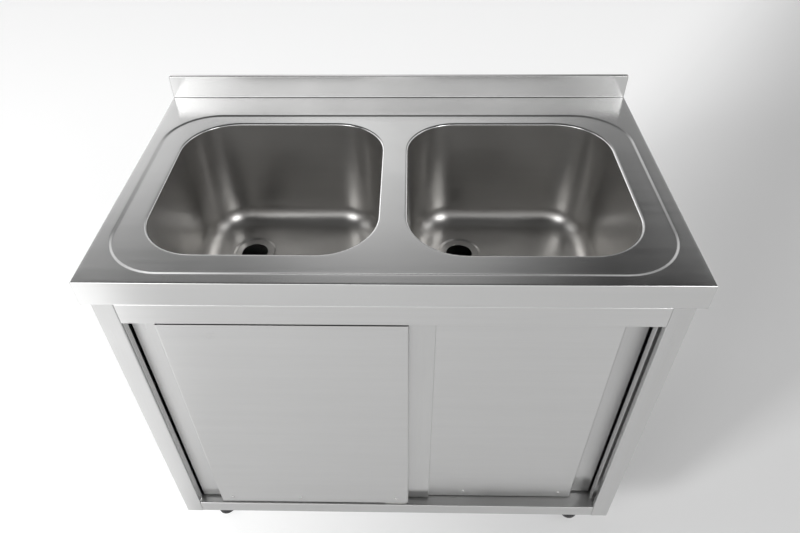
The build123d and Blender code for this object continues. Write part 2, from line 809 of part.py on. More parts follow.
# ---- Base rails, which carry the legs ------------------------------------------------------------------
def base_rail(side):
    """A hat-shaped rail under the shelf, drilled for the screws of two legs."""
    half = base_rail_gauge / 2
    wall = base_rail_width / 2 - half
    edge = wall + base_rail_flange
    middle = side * leg_x
    low = body_bottom + half
    high = shelf_underside - half
    start = body_front + base_rail_end
    length = body_rear - body_front - 2 * base_rail_end
    with BuildPart() as rail:
        with BuildSketch(facing_front(middle, start + length, 0)):
            with BuildLine():
                FilletPolyline((-edge, high), (-wall, high), (-wall, low), (wall, low), (wall, high),
                               (edge, high), radius=fold_radius)
            trace(line_width=base_rail_gauge)
        extrude(amount=length)
        with BuildSketch(Plane.XY.offset(body_bottom)):
            with Locations((middle, leg_centre_y - leg_y), (middle, leg_centre_y + leg_y)):
                with PolarLocations(leg_screw_circle / 2, leg_screw_count, start_angle=leg_screw_angle):
                    Circle(leg_screw / 2)
        extrude(amount=base_rail_gauge, mode=Mode.SUBTRACT)
    return rail


left_base_rail = base_rail(-1)
save(left_base_rail, "left_base_rail")

right_base_rail = base_rail(1)
save(right_base_rail, "right_base_rail")


# ---- Legs and feet -------------------------------------------------------------------------------------
def leg(x, y):
    """A moulded leg: screw flange, ribbed tube and collar round the bore of the foot's spindle."""
    bore = spindle_diameter / 2 + spindle_clearance
    tube_bottom = leg_bottom + leg_collar_height
    tube_top = body_bottom - leg_flange_height
    with BuildPart() as moulding:
        with BuildSketch(Plane.XY.offset(tube_top)):
            with Locations((x, y)):
                Circle(leg_flange / 2)
                with PolarLocations(leg_screw_circle / 2, leg_screw_count, start_angle=leg_screw_angle):
                    Circle(leg_screw / 2, mode=Mode.SUBTRACT)
        extrude(amount=leg_flange_height)
        with BuildSketch(Plane.XY.offset(leg_bottom)):
            with Locations((x, y)):
                Circle(leg_tube / 2)
        extrude(amount=tube_top - leg_bottom)
        with BuildSketch(Plane.XY.offset(leg_bottom)):
            with Locations((x, y)):
                Circle(leg_collar / 2)
        extrude(amount=leg_collar_height)
        with BuildSketch(Plane.XY.offset(tube_bottom)):
            with Locations((x, y)):
                with PolarLocations(leg_tube / 2, leg_rib_count):
                    Rectangle(2 * leg_rib, 2 * leg_rib)
        extrude(amount=tube_top - tube_bottom)
        with BuildSketch(Plane.XY.offset(leg_bottom)):
            with Locations((x, y)):
                Circle(bore)
        extrude(amount=body_bottom - leg_bore_end - leg_bottom, mode=Mode.SUBTRACT)
    return moulding


def foot(x, y):
    """A foot turned in one with its spindle: a flat rim, a cone up to the neck and the spindle."""
    with BuildPart() as turned:
        with BuildSketch(facing_front(x, y, 0)):
            with BuildLine():
                Polyline(
                    (0, 0),
                    (foot_diameter / 2, 0),
                    (foot_diameter / 2, foot_rim_height),
                    (foot_neck / 2, foot_height),
                    (spindle_diameter / 2, foot_height),
                    (spindle_diameter / 2, foot_height + spindle_length),
                    (0, foot_height + spindle_length),
                    close=True,
                )
            make_face()
        revolve(axis=Axis((x, y, 0), (0, 0, 1)))
    return turned


leg_places = {
    "front_left": (-leg_x, leg_centre_y - leg_y),
    "front_right": (leg_x, leg_centre_y - leg_y),
    "rear_left": (-leg_x, leg_centre_y + leg_y),
    "rear_right": (leg_x, leg_centre_y + leg_y),
}
for name, (x, y) in leg_places.items():
    corner_leg = leg(x, y)
    save(corner_leg, f"{name}_leg")
    corner_foot = foot(x, y)
    save(corner_foot, f"{name}_foot")

with BuildPart() as leg_screws:
    screw_start = body_bottom - leg_flange_height - leg_screw_head_height
    with BuildSketch(Plane.XY.offset(screw_start)):
        with Locations(*leg_places.values()):
            with PolarLocations(leg_screw_circle / 2, leg_screw_count, start_angle=leg_screw_angle):
                RegularPolygon(leg_screw_head / 2, head_sides)
    extrude(amount=leg_screw_head_height)
    with BuildSketch(Plane.XY.offset(screw_start + leg_screw_head_height)):
        with Locations(*leg_places.values()):
            with PolarLocations(leg_screw_circle / 2, leg_screw_count, start_angle=leg_screw_angle):
                Circle(leg_screw / 2)
    extrude(amount=leg_flange_height + base_rail_gauge + leg_screw_grip)
save(leg_screws, "leg_screws")
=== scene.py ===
# %% [markdown]
# # A stainless steel sink unit
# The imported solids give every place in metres: +X is right, +Y is towards the wall, +Z is up, and
# the floor is at zero. The solids are right in shape, but their triangles carry no map for brushed
# lines. So the sheets that show are made again as smooth numpy surfaces with their own finishes,
# and each one rides on the solid's body, so the doors still slide.

# %% The frame
import json

import bmesh
import bpy
import numpy as np
from mathutils import Matrix, Vector


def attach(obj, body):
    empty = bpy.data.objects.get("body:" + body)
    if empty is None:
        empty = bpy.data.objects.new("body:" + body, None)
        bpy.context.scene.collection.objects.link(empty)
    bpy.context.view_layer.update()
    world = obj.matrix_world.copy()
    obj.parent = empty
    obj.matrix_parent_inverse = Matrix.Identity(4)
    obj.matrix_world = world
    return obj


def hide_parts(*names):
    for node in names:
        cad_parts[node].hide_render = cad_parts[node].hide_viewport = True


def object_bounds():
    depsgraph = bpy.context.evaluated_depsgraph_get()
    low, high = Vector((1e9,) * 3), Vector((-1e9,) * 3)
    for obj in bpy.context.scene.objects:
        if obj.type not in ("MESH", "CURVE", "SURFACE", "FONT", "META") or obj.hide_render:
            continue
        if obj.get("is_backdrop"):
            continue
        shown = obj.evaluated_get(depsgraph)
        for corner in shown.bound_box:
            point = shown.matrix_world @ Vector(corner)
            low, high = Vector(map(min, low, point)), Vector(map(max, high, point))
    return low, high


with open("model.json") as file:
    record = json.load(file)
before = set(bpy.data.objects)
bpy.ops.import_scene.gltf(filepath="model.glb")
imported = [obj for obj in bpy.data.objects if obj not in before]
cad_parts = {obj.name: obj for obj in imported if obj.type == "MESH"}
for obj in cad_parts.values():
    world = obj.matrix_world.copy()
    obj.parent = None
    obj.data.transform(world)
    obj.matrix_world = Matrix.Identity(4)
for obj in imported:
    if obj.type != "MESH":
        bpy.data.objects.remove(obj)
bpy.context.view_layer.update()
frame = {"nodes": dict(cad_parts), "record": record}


def box_lists():
    """The shown object's lowest and highest corner as plain lists."""
    low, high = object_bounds()
    return [list(low), list(high)]


# %% [markdown]
# ## Camera
# The photograph looks down on the unit from in front, through a rather wide lens, so its uprights
# run together towards the floor. The place and the three angles were solved from the worktop's
# corners, the stiles' feet and the bowls' mouths. They could be typed in as Euler angles, but a
# matrix built from right, up and backward leaves no doubt over the order of the turns.

# %% Camera
CAMERA_PLACE = (0.030463, -1.000321, 1.545260)
CAMERA_YAW = -0.0289625
CAMERA_PITCH = 0.7293066
CAMERA_ROLL = -0.0149714
CAMERA_LENS = 28.889
CAMERA_SHIFT = (0.00469, -0.01925)


def camera_axes(yaw, pitch, roll):
    """Right, up and forward: forward turns by yaw from +Y and dips by pitch, the others roll."""
    forward = np.array([np.sin(yaw) * np.cos(pitch), np.cos(yaw) * np.cos(pitch), -np.sin(pitch)])
    level = np.array([np.cos(yaw), -np.sin(yaw), 0.0])
    upright = np.cross(level, forward)
    right = np.cos(roll) * level + np.sin(roll) * upright
    up = -np.sin(roll) * level + np.cos(roll) * upright
    return right, up, forward


camera_data = bpy.data.cameras.new("photo_camera")
camera_data.lens = CAMERA_LENS
camera_data.shift_x, camera_data.shift_y = CAMERA_SHIFT
camera = bpy.data.objects.new("photo_camera", camera_data)
right, up, forward = camera_axes(CAMERA_YAW, CAMERA_PITCH, CAMERA_ROLL)
turned = np.eye(4)
turned[:3, 0], turned[:3, 1], turned[:3, 2], turned[:3, 3] = right, up, -forward, CAMERA_PLACE
camera.matrix_world = Matrix(turned.tolist())
bpy.context.scene.collection.objects.link(camera)
bpy.context.scene.camera = camera
print("camera looks along", forward.round(3))

# %% [markdown]
# ## Finishes
# Brushed stainless sheet is a mirror with fine scratches that all run one way. A picture of steel
# could be laid over it, but it would bring the light of another room. Here the scratches are
# noise, stretched along U of a map in metres that each sheet carries, so they turn at the folds
# with the metal. They show as faint lines of lighter and rougher metal, and spread a reflection
# across themselves, which is what the shader's anisotropy does. A broad soft noise adds the
# handling marks, and another bends the surface by a hair, as flat sheet always is bent.

# %% New materials and nodes
def new_finish(name):
    """An empty material, its node tree and its shader."""
    material = bpy.data.materials.new(name)
    material.use_nodes = True
    tree = material.node_tree
    return material, tree, tree.nodes["Principled BSDF"]


def feed(tree, node, values):
    """Each named socket gets its number or colour, or a link from another node's output."""
    for key, value in values.items():
        if isinstance(value, bpy.types.NodeSocket):
            tree.links.new(value, node.inputs[key])
        else:
            node.inputs[key].default_value = value


def add_node(tree, kind, values=None, **settings):
    """A node of this kind, with its settings as attributes and its sockets fed by the values."""
    node = tree.nodes.new(kind)
    for key, value in settings.items():
        setattr(node, key, value)
    feed(tree, node, values or {})
    return node


print("helpers new_finish, feed and add_node")

# %% Patterns
NOISE_LOW, NOISE_HIGH = 0.3, 0.7


def stretched_noise(tree, coordinates, stretch, detail):
    """Noise whose grains are 1/stretch metres long along each axis."""
    mapping = add_node(tree, "ShaderNodeMapping", {"Vector": coordinates, "Scale": stretch})
    noise = add_node(tree, "ShaderNodeTexNoise", {"Vector": mapping.outputs["Vector"],
                                                  "Scale": 1.0, "Detail": detail})
    return noise.outputs["Fac"]


def blended(tree, first, second, share):
    """share of the second pattern, and the rest of the first."""
    mix = add_node(tree, "ShaderNodeMix", {"Factor": share, "A": first, "B": second},
                   data_type="FLOAT")
    return mix.outputs["Result"]


def spread(tree, pattern, low, high):
    """The pattern's usual reach, NOISE_LOW to NOISE_HIGH, carried over to low to high."""
    node = add_node(tree, "ShaderNodeMapRange", {"Value": pattern, "From Min": NOISE_LOW,
                                                 "From Max": NOISE_HIGH, "To Min": low,
                                                 "To Max": high})
    return node.outputs["Result"]


print("noise is spread from", NOISE_LOW, "to", NOISE_HIGH)

# %% Colour and bump from a pattern
def tinted(tree, pattern, dark, light):
    """A colour between dark and light, as the pattern goes from NOISE_LOW to NOISE_HIGH."""
    mix = add_node(tree, "ShaderNodeMix", {"A": (*dark, 1), "B": (*light, 1)}, data_type="RGBA")
    feed(tree, mix, {"Factor": spread(tree, pattern, 0.0, 1.0)})
    return mix.outputs["Result"]


def bumped(tree, pattern, distance, under=None):
    """The surface raised by the pattern times distance, over what another bump made."""
    bump = add_node(tree, "ShaderNodeBump", {"Height": pattern, "Strength": 1.0,
                                             "Distance": distance})
    if under is not None:
        feed(tree, bump, {"Normal": under})
    return bump.outputs["Normal"]


print("helpers tinted and bumped")

# %% Brushed sheet
LINE_STRETCH = (14.0, 1100.0, 1.0)
BAND_STRETCH = (1.6, 55.0, 1.0)
SMUDGE_STRETCH = (9.0, 9.0, 9.0)
WAVE_STRETCH = (3.2, 4.5, 1.0)
BAND_SHARE, SMUDGE_SHARE, LIGHT_SHARE = 0.45, 0.5, 0.6
SMOOTHER, ROUGHER = 0.035, 0.05
SCRATCH_DEPTH = 0.0000025
QUARTER_TURN = 0.25


def brushed_sheet(name, colour, roughness, anisotropy, lines, wave):
    """Satin sheet: lines along the map's U, bands of them, smudges and a slow wave, from noise."""
    material, tree, shader = new_finish(name)
    chart = add_node(tree, "ShaderNodeUVMap", uv_map="grain").outputs["UV"]
    fine = stretched_noise(tree, chart, LINE_STRETCH, 3.0)
    band = stretched_noise(tree, chart, BAND_STRETCH, 2.0)
    smudge = stretched_noise(tree, chart, SMUDGE_STRETCH, 4.0)
    slow = stretched_noise(tree, chart, WAVE_STRETCH, 1.0)
    grain = blended(tree, fine, band, BAND_SHARE)
    marks = blended(tree, grain, smudge, SMUDGE_SHARE)
    colour = np.array(colour)
    tangent = add_node(tree, "ShaderNodeTangent", direction_type="UV_MAP", uv_map="grain")
    feed(tree, shader, {
        "Base Color": tinted(tree, grain, colour * (1 - lines),
                             colour * (1 + LIGHT_SHARE * lines)),
        "Roughness": spread(tree, marks, roughness - SMOOTHER, roughness + ROUGHER),
        "Normal": bumped(tree, fine, SCRATCH_DEPTH, bumped(tree, slow, wave)),
        "Tangent": tangent.outputs["Tangent"], "Metallic": 1.0, "Anisotropic": anisotropy,
        "Anisotropic Rotation": QUARTER_TURN})
    return material


print("fine lines are", 1 / LINE_STRETCH[0], "m long and", 1 / LINE_STRETCH[1], "m wide")

# %% The four sheets
SATIN, DRAWN = (0.60, 0.60, 0.597), (0.50, 0.492, 0.48)
SHEETS = {  # name, colour, roughness, anisotropy, strength of the lines, depth of the wave
    "worktop_steel": ("satin_worktop", SATIN, 0.21, 0.60, 0.035, 0.0006),
    "cupboard_steel": ("satin_cupboard", SATIN, 0.30, 0.88, 0.045, 0.0006),
    "door_steel": ("satin_door", SATIN, 0.30, 0.88, 0.04, 0.0008),
    "bowl_steel": ("drawn_bowl", DRAWN, 0.31, 0.50, 0.04, 0.0003)}
finishes = {slot: brushed_sheet(*values) for slot, values in SHEETS.items()}
print("sheet finishes", [material.name for material in finishes.values()])

# %% [markdown]
# ## Finishes of the inner parts
# These stay as the solids they are, and have no map. One could be unwrapped for them, but the
# parts are small, so their patterns read the object's own coordinates. Zinc coated sheet shows
# crystals, which cells of Voronoi noise copy. Nylon, black plastic and rubber have a fine moulded
# grain, and turned fasteners have a faint haze.

# %% Zinc and bright plate
CRYSTALS_PER_METRE = 160.0
HAZE_STRETCH = (220.0, 220.0, 220.0)
HAZE_SMOOTHER, HAZE_ROUGHER = 0.05, 0.08


def zinc_finish(name, dark, light, smooth, rough):
    """Zinc crystals: each Voronoi cell has its own shade and roughness."""
    material, tree, shader = new_finish(name)
    place = add_node(tree, "ShaderNodeTexCoord").outputs["Object"]
    cells = add_node(tree, "ShaderNodeTexVoronoi", {"Vector": place, "Scale": CRYSTALS_PER_METRE})
    shade = add_node(tree, "ShaderNodeSeparateColor", {"Color": cells.outputs["Color"]})
    crystal = shade.outputs["Red"]
    feed(tree, shader, {"Base Color": tinted(tree, crystal, dark, light), "Metallic": 1.0,
                        "Roughness": spread(tree, crystal, smooth, rough)})
    return material


def turned_finish(name, dark, light, roughness):
    """Plated steel with a faint haze, from noise in the object's coordinates."""
    material, tree, shader = new_finish(name)
    place = add_node(tree, "ShaderNodeTexCoord").outputs["Object"]
    haze = stretched_noise(tree, place, HAZE_STRETCH, 4.0)
    feed(tree, shader, {"Base Color": tinted(tree, haze, dark, light), "Metallic": 1.0,
                        "Roughness": spread(tree, haze, roughness - HAZE_SMOOTHER,
                                            roughness + HAZE_ROUGHER)})
    return material


finishes["zinc_sheet"] = zinc_finish("zinc_crystals", (0.46, 0.48, 0.50), (0.60, 0.62, 0.63),
                                     smooth=0.30, rough=0.45)
finishes["fastener_steel"] = turned_finish("bright_plate", (0.55, 0.55, 0.54), (0.68, 0.68, 0.67),
                                           roughness=0.22)
print("zinc crystals are", 1 / CRYSTALS_PER_METRE, "m wide")

# %% Plastics
SHADE_STRETCH = (40.0, 40.0, 40.0)
SHADE_SMOOTHER, SHADE_ROUGHER = 0.05, 0.07


def moulded_finish(name, dark, light, roughness, grain_size, depth):
    """Moulded plastic or rubber: a fine even grain, with a slow change of shade."""
    material, tree, shader = new_finish(name)
    place = add_node(tree, "ShaderNodeTexCoord").outputs["Object"]
    slow = stretched_noise(tree, place, SHADE_STRETCH, 3.0)
    fine = stretched_noise(tree, place, (1 / grain_size,) * 3, 2.0)
    feed(tree, shader, {"Base Color": tinted(tree, slow, dark, light),
                        "Roughness": spread(tree, slow, roughness - SHADE_SMOOTHER,
                                            roughness + SHADE_ROUGHER),
                        "Normal": bumped(tree, fine, depth)})
    return material


MOULDED = {  # name, dark and light colour, roughness, size and depth of the grain
    "white_nylon": ("nylon_grain", (0.78, 0.78, 0.74), (0.84, 0.84, 0.81), 0.42, 0.0006, 0.00003),
    "black_plastic": ("black_moulding", (0.018, 0.018, 0.02), (0.032, 0.032, 0.034), 0.45,
                      0.0008, 0.00004),
    "black_rubber": ("rubber_grain", (0.02, 0.02, 0.02), (0.04, 0.04, 0.04), 0.7, 0.0005, 0.00004)}
finishes.update({slot: moulded_finish(*values) for slot, values in MOULDED.items()})
print("finishes", len(finishes))

# %% [markdown]
# ## From arrays to meshes
# Sheet could be modelled by hand from boxes with bevels, but then a drawn bowl's corners would
# never come out even. Here every new piece is one or more patches: a grid of points, and a map
# that gives each point its place along and across the brushing. Patches that meet share their edge
# points exactly, so merging doubles closes the seams. Thickness comes from Solidify, and small
# radii on folded corners come from Bevel.

# %% Patches
def patch(points, chart, flipped=False):
    """Corners, quads and map of one grid; flipped turns its faces to the other side."""
    rows, columns = points.shape[:2]
    if flipped:
        points, chart = points[::-1], chart[::-1]
    index = np.arange(rows * columns).reshape(rows, columns)
    quads = np.stack([index[:-1, :-1], index[:-1, 1:], index[1:, 1:], index[1:, :-1]], axis=-1)
    return points.reshape(-1, 3), quads.reshape(-1, 4), chart.reshape(-1, 2)


corners, quads, _ = patch(np.zeros((3, 4, 3)), np.zeros((3, 4, 2)))
print("a grid of", len(corners), "points has", len(quads), "quads")

# %% One mesh from patches
MERGE = 1e-6


def joined_mesh(name, patches, closed):
    """One mesh of all the patches: equal points merge, and the map stays on the face corners."""
    starts = np.cumsum([0] + [len(p[0]) for p in patches[:-1]])
    points = np.concatenate([p[0] for p in patches])
    quads = np.concatenate([p[1] + start for p, start in zip(patches, starts)])
    chart = np.concatenate([p[2] for p in patches])
    mesh = bpy.data.meshes.new(name)
    mesh.from_pydata(points.tolist(), [], quads.tolist())
    layer = mesh.uv_layers.new(name="grain")
    layer.data.foreach_set("uv", chart[quads.reshape(-1)].astype(np.float32).ravel())
    work = bmesh.new()
    work.from_mesh(mesh)
    bmesh.ops.remove_doubles(work, verts=work.verts, dist=MERGE)
    bmesh.ops.dissolve_degenerate(work, edges=work.edges, dist=MERGE)
    bmesh.ops.recalc_face_normals(work, faces=work.faces)
    highest = max(work.faces, key=lambda face: face.calc_center_median().z)
    if not closed and highest.normal.z < 0:
        bmesh.ops.reverse_faces(work, faces=work.faces)
    work.to_mesh(mesh)
    work.free()
    mesh.shade_smooth()
    return mesh


print("points closer than", MERGE, "m become one")

# %% Pieces
BEVEL_SEGMENTS, AREA_WEIGHT = 4, 100
BEVEL_ANGLE = np.radians(50)


def add_modifier(piece, name, kind, **settings):
    """A modifier of this kind, with its settings as attributes."""
    modifier = piece.modifiers.new(name, kind)
    for key, value in settings.items():
        setattr(modifier, key, value)


def make_piece(name, patches, body, node, slot, thickness=0.0, side=0.0, rounding=0.0,
               closed=False):
    """A piece in one node's place: mesh, rounded corners, gauge, normals, body and finish."""
    piece = bpy.data.objects.new(name, joined_mesh(name, patches, closed))
    bpy.context.scene.collection.objects.link(piece)
    if rounding:
        add_modifier(piece, "rounding", "BEVEL", width=rounding, segments=BEVEL_SEGMENTS,
                     limit_method="ANGLE", angle_limit=BEVEL_ANGLE)
    if thickness:
        add_modifier(piece, "gauge", "SOLIDIFY", thickness=thickness, offset=side,
                     use_even_offset=True)
    add_modifier(piece, "shading", "WEIGHTED_NORMAL", weight=AREA_WEIGHT)
    piece.data.materials.append(finishes[slot])
    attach(piece, body)
    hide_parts(node)
    print(name, "vertices", len(piece.data.vertices), "on", body)
    return piece


SIDES = (("left", -1), ("right", 1))
print("rounded folds get", BEVEL_SEGMENTS, "segments")

# %% [markdown]
# ## Loops for the pressed worktop
# The worktop and the bowls are rings of rounded rectangles, one inside the other. They could be
# cut from a plate with booleans, but those leave long thin faces that spoil a mirror. If each ring
# has the same number of points on every straight and every corner, rings can be joined point to
# point. A corner is an arc, or, where a ring has a square corner, the same number of points spread
# along the two edges.

# %% Straights and corners
CORNER_STEPS, HALF_CORNER = 12, 6
SIDE_STEPS = 8


def stretch_of(start, end, steps):
    """Points from start to end in equal steps, without the end."""
    share = np.linspace(0, 1, steps, endpoint=False)[:, None]
    return np.array(start) * (1 - share) + np.array(end) * share


def elbow(start, tip, end):
    """Two straight edges that meet at the tip, without the end."""
    return np.concatenate([stretch_of(start, tip, HALF_CORNER), stretch_of(tip, end, HALF_CORNER)])


def corner_of(centre, reach, angle, square=False):
    """A quarter turn about centre from angle: an arc of radius reach, or two straight edges."""
    if square:
        turn = np.array([angle, angle + np.pi / 4, angle + np.pi / 2])
        edge = np.stack([np.cos(turn), np.sin(turn)], axis=1)
        edge = edge / np.abs(edge).max(axis=1, keepdims=True)
        return elbow(*(np.array(centre) + edge * np.array(reach)))
    turn = np.linspace(angle, angle + np.pi / 2, CORNER_STEPS, endpoint=False)
    return np.array(centre) + reach * np.stack([np.cos(turn), np.sin(turn)], axis=1)


print("steps of a side and a corner", SIDE_STEPS, CORNER_STEPS)

# %% Closed loops and rows
def mouth_loop(middle, half_x, half_y, corner, square=(False, False, False, False)):
    """A closed loop from the front edge's left end, anticlockwise: straight, corner, four times."""
    reach_x, reach_y = half_x - corner, half_y - corner
    signs = ((1, -1), (1, 1), (-1, 1), (-1, -1))
    centres = [np.array(middle) + np.array(sign) * (reach_x, reach_y) for sign in signs]
    outward = np.array([(0, -1), (1, 0), (0, 1), (-1, 0)]) * corner
    parts = []
    for k in range(4):
        start = centres[k - 1] + outward[k]
        parts.append(stretch_of(start, centres[k] + outward[k], SIDE_STEPS))
        parts.append(corner_of(centres[k], corner, -np.pi / 2 + k * np.pi / 2, square[k]))
    loop = np.concatenate(parts)
    return np.concatenate([loop, loop[:1]])


def raised(loop, height):
    """The loop's points at this height."""
    return np.concatenate([loop, np.full((len(loop), 1), height)], axis=1)


def between(first, last, shares):
    """Rows of points that go from one row to another by each share."""
    shares = np.asarray(shares)[:, None, None]
    return first[None] * (1 - shares) + last[None] * shares


def smooth_s(share):
    """A soft rise from 0 to 1: three times the share squared, less twice its cube."""
    return 3 * share**2 - 2 * share**3


print("points in a loop", len(mouth_loop((0, 0), 0.2, 0.2, 0.1)))

# %% [markdown]
# ## Worktop
# The real one is pressed and folded from a single 1.5 mm sheet: a field sunk by a small step, a
# margin, a 50 mm apron folded down and in again, and an upstand at the wall. The field is two
# cells, each between a bowl's mouth and its half of the field, because rings round both bowls at
# once would pinch between them. At the mouth the sheet turns down in a quarter of an ellipse.

# %% Worktop sizes
HALF_WIDTH, FRONT, REAR = 0.500, -0.300, 0.300
TOP, APRON_BOTTOM = 0.850, 0.800
UPSTAND_TOP, UPSTAND_FACE = 0.900, 0.290
FIELD_TOP, FIELD_HALF_X, FIELD_HALF_Y = 0.8485, 0.4763, 0.2463
FIELD_MIDDLE, FIELD_CORNER, FIELD_SLOPE = -0.033, 0.1058, 0.0062
BOWL_X, BOWL_Y = 0.226, -0.0255
MOUTH_HALF_X, MOUTH_HALF_Y, MOUTH_CORNER = 0.201, 0.2035, 0.100
MOUTH_EDGE, EDGE_REACH = 0.0034, 0.005
SHEET, FOLD = 0.0015, 0.0020
INNER_X, INNER_FRONT, INNER_REAR = 0.461, -0.277, 0.268
WAIST = FIELD_CORNER - FIELD_SLOPE
print("worktop", 2 * HALF_WIDTH, "by", REAR - FRONT, "m at", TOP, "m")

# %% Field cells and the mouths' turned edges
MOUTH_ROWS, FIELD_ROWS = 10, 7


def mouth_row(side, growth, height):
    """The loop of one bowl's mouth, grown by so much all round, at this height."""
    return raised(mouth_loop((side * BOWL_X, BOWL_Y), MOUTH_HALF_X + growth,
                             MOUTH_HALF_Y + growth, MOUTH_CORNER + growth), height)


def field_cell(side):
    """The field round one bowl: rows from the mouth's turned edge out to half of the field."""
    half = (FIELD_HALF_X - FIELD_SLOPE) / 2
    square = (True, True, False, False) if side < 0 else (False, False, True, True)
    outer = mouth_loop((side * half, FIELD_MIDDLE), half, FIELD_HALF_Y - FIELD_SLOPE, WAIST, square)
    turn = np.radians(np.linspace(90, 0, MOUTH_ROWS))
    rows = [mouth_row(side, out, FIELD_TOP - MOUTH_EDGE + rise)
            for out, rise in zip(EDGE_REACH * (1 - np.sin(turn)), MOUTH_EDGE * np.cos(turn))]
    flat = between(rows[-1], raised(outer, FIELD_TOP), np.linspace(0, 1, FIELD_ROWS)[1:])
    points = np.concatenate([np.stack(rows), flat])
    return patch(points, points[..., :2])


cells = [field_cell(side) for _, side in SIDES]
print("points in each field cell", [len(cell[0]) for cell in cells])

# %% [markdown]
# ## Step and margin
# The step is the line of light round the field. A bump could draw it, but it would not bend the
# mirrored room, so it is a real slope whose height follows a smooth S. The margin runs from it to
# the worktop's edges. Their loops go round the whole field, so their points along the front and
# the back are placed where the two cells have theirs.

# %% Loops round the whole field
CORNER_X = FIELD_HALF_X - FIELD_CORNER
CORNER_Y = (FIELD_MIDDLE - FIELD_HALF_Y + FIELD_CORNER, FIELD_MIDDLE + FIELD_HALF_Y - FIELD_CORNER)


def framed_loop(half_x, low_y, high_y, corner_x, ends_y, square):
    """A loop round the whole field, its front and back points matched to the two cells' points."""
    waist = np.array([-corner_x, -WAIST, 0.0, WAIST, corner_x])
    steps = (SIDE_STEPS, HALF_CORNER, HALF_CORNER, SIDE_STEPS)
    radius = half_x - corner_x
    parts = []
    for sign in (1, -1):
        (y_here, y_next), (end_here, end_next) = (low_y, high_y)[::sign], ends_y[::sign]
        xs, x = sign * waist, sign * half_x
        parts += [stretch_of((a, y_here), (b, y_here), n) for a, b, n in zip(xs, xs[1:], steps)]
        if square:
            first = elbow((xs[-1], y_here), (x, y_here), (x, end_here))
            second = elbow((x, end_next), (x, y_next), (xs[-1], y_next))
        else:
            first = corner_of((xs[-1], end_here), radius, -sign * np.pi / 2)
            second = corner_of((xs[-1], end_next), radius, (1 - sign) * np.pi / 2)
        parts += [first, stretch_of((x, end_here), (x, end_next), SIDE_STEPS), second]
    loop = np.concatenate(parts)
    return np.concatenate([loop, loop[:1]])


print("the field's corners turn about x", CORNER_X, "and y", CORNER_Y)

# %% Step and margin
STEP_ROWS, MARGIN_ROWS = 9, 5


def step_row(share):
    """One loop of the step: its place goes out evenly and its height by a smooth S."""
    inset = FIELD_SLOPE * (1 - share)
    height = FIELD_TOP + (TOP - FIELD_TOP) * smooth_s(share)
    half_y = FIELD_HALF_Y - inset
    loop = framed_loop(FIELD_HALF_X - inset, FIELD_MIDDLE - half_y, FIELD_MIDDLE + half_y,
                       CORNER_X, CORNER_Y, False)
    return raised(loop, height)


step_rows = np.stack([step_row(share) for share in np.linspace(0, 1, STEP_ROWS)])
edge_loop = framed_loop(HALF_WIDTH, FRONT, UPSTAND_FACE, CORNER_X, CORNER_Y, True)
margin = between(step_rows[-1], raised(edge_loop, TOP), np.linspace(0, 1, MARGIN_ROWS)[1:])
ring = np.concatenate([step_rows, margin])
cells.append(patch(ring, ring[..., :2]))
print("worktop ring", ring.shape)

# %% [markdown]
# ## Apron, upstand and lower fold
# All three could be extruded from the worktop's rim in edit mode. As rows of points under the
# margin's outer edge they stay tied to its points, and Bevel then rounds the folds between them.
# The lower fold turns in under the cupboard's top and leaves the middle open for the bowls.

# %% Apron
FOLD_ROWS = 5
BACK_START = int(np.argmin(np.abs(edge_loop - (HALF_WIDTH, UPSTAND_FACE)).sum(axis=1)))
BACK_END = int(np.argmin(np.abs(edge_loop - (-HALF_WIDTH, UPSTAND_FACE)).sum(axis=1)))
back_x = edge_loop[BACK_START:BACK_END + 1, 0]
three_sides = np.concatenate([[(-HALF_WIDTH, REAR)], edge_loop[BACK_END:-1],
                              edge_loop[:BACK_START + 1], [(HALF_WIDTH, REAR)]])
apron_heights = np.linspace(TOP, APRON_BOTTOM, FOLD_ROWS)
apron = np.stack([raised(three_sides, height) for height in apron_heights])
apron_chart = np.stack([apron[..., 0] + apron[..., 1], apron[..., 2]], axis=-1)
folds = [patch(apron, apron_chart)]
print("apron", apron.shape)

# %% Upstand, its back and its ends
def upright(xs, y, heights):
    """A flat upright grid at this y."""
    x, z = np.meshgrid(xs, heights)
    return np.stack([x, np.full_like(x, y), z], axis=-1)


def unfolded(points, origin_y):
    """The map of an upright front: along X, and down or up from the fold."""
    return np.stack([points[..., 0], origin_y + points[..., 2]], axis=-1)


upstand_heights = np.linspace(UPSTAND_TOP, TOP, FOLD_ROWS)
back_face = upright(back_x, REAR, np.concatenate([upstand_heights, apron_heights[1:]]))
upstand_front = upright(back_x, UPSTAND_FACE, upstand_heights)
cap = np.stack([upstand_front[0], back_face[0]])
end_y, end_z = np.meshgrid([UPSTAND_FACE, REAR], upstand_heights)
ends = [np.stack([np.full_like(end_y, side * HALF_WIDTH), end_y, end_z], axis=-1)
        for _, side in SIDES]
folds += [patch(back_face, unfolded(back_face, REAR)),
          patch(upstand_front, unfolded(upstand_front, UPSTAND_FACE), True),
          patch(cap, cap[..., :2])]
print("upstand", upstand_front.shape, "back", back_face.shape)

# %% Lower fold and the whole worktop
back_row = np.stack([back_x[1:], np.full(len(back_x) - 1, REAR)], axis=1)
outline = np.concatenate([three_sides, back_row])
opening = np.clip(outline, (-INNER_X, INNER_FRONT), (INNER_X, INNER_REAR))
fold_in = between(raised(outline, APRON_BOTTOM), raised(opening, APRON_BOTTOM),
                  np.linspace(0, 1, 3))
folds += [patch(fold_in, fold_in[..., :2]), patch(ends[0], ends[0][..., 1:]),
          patch(ends[1], ends[1][..., 1:], True)]
make_piece("worktop_sheet", cells + folds, "cabinet", "worktop", "worktop_steel",
           thickness=SHEET, side=-1.0, rounding=FOLD)

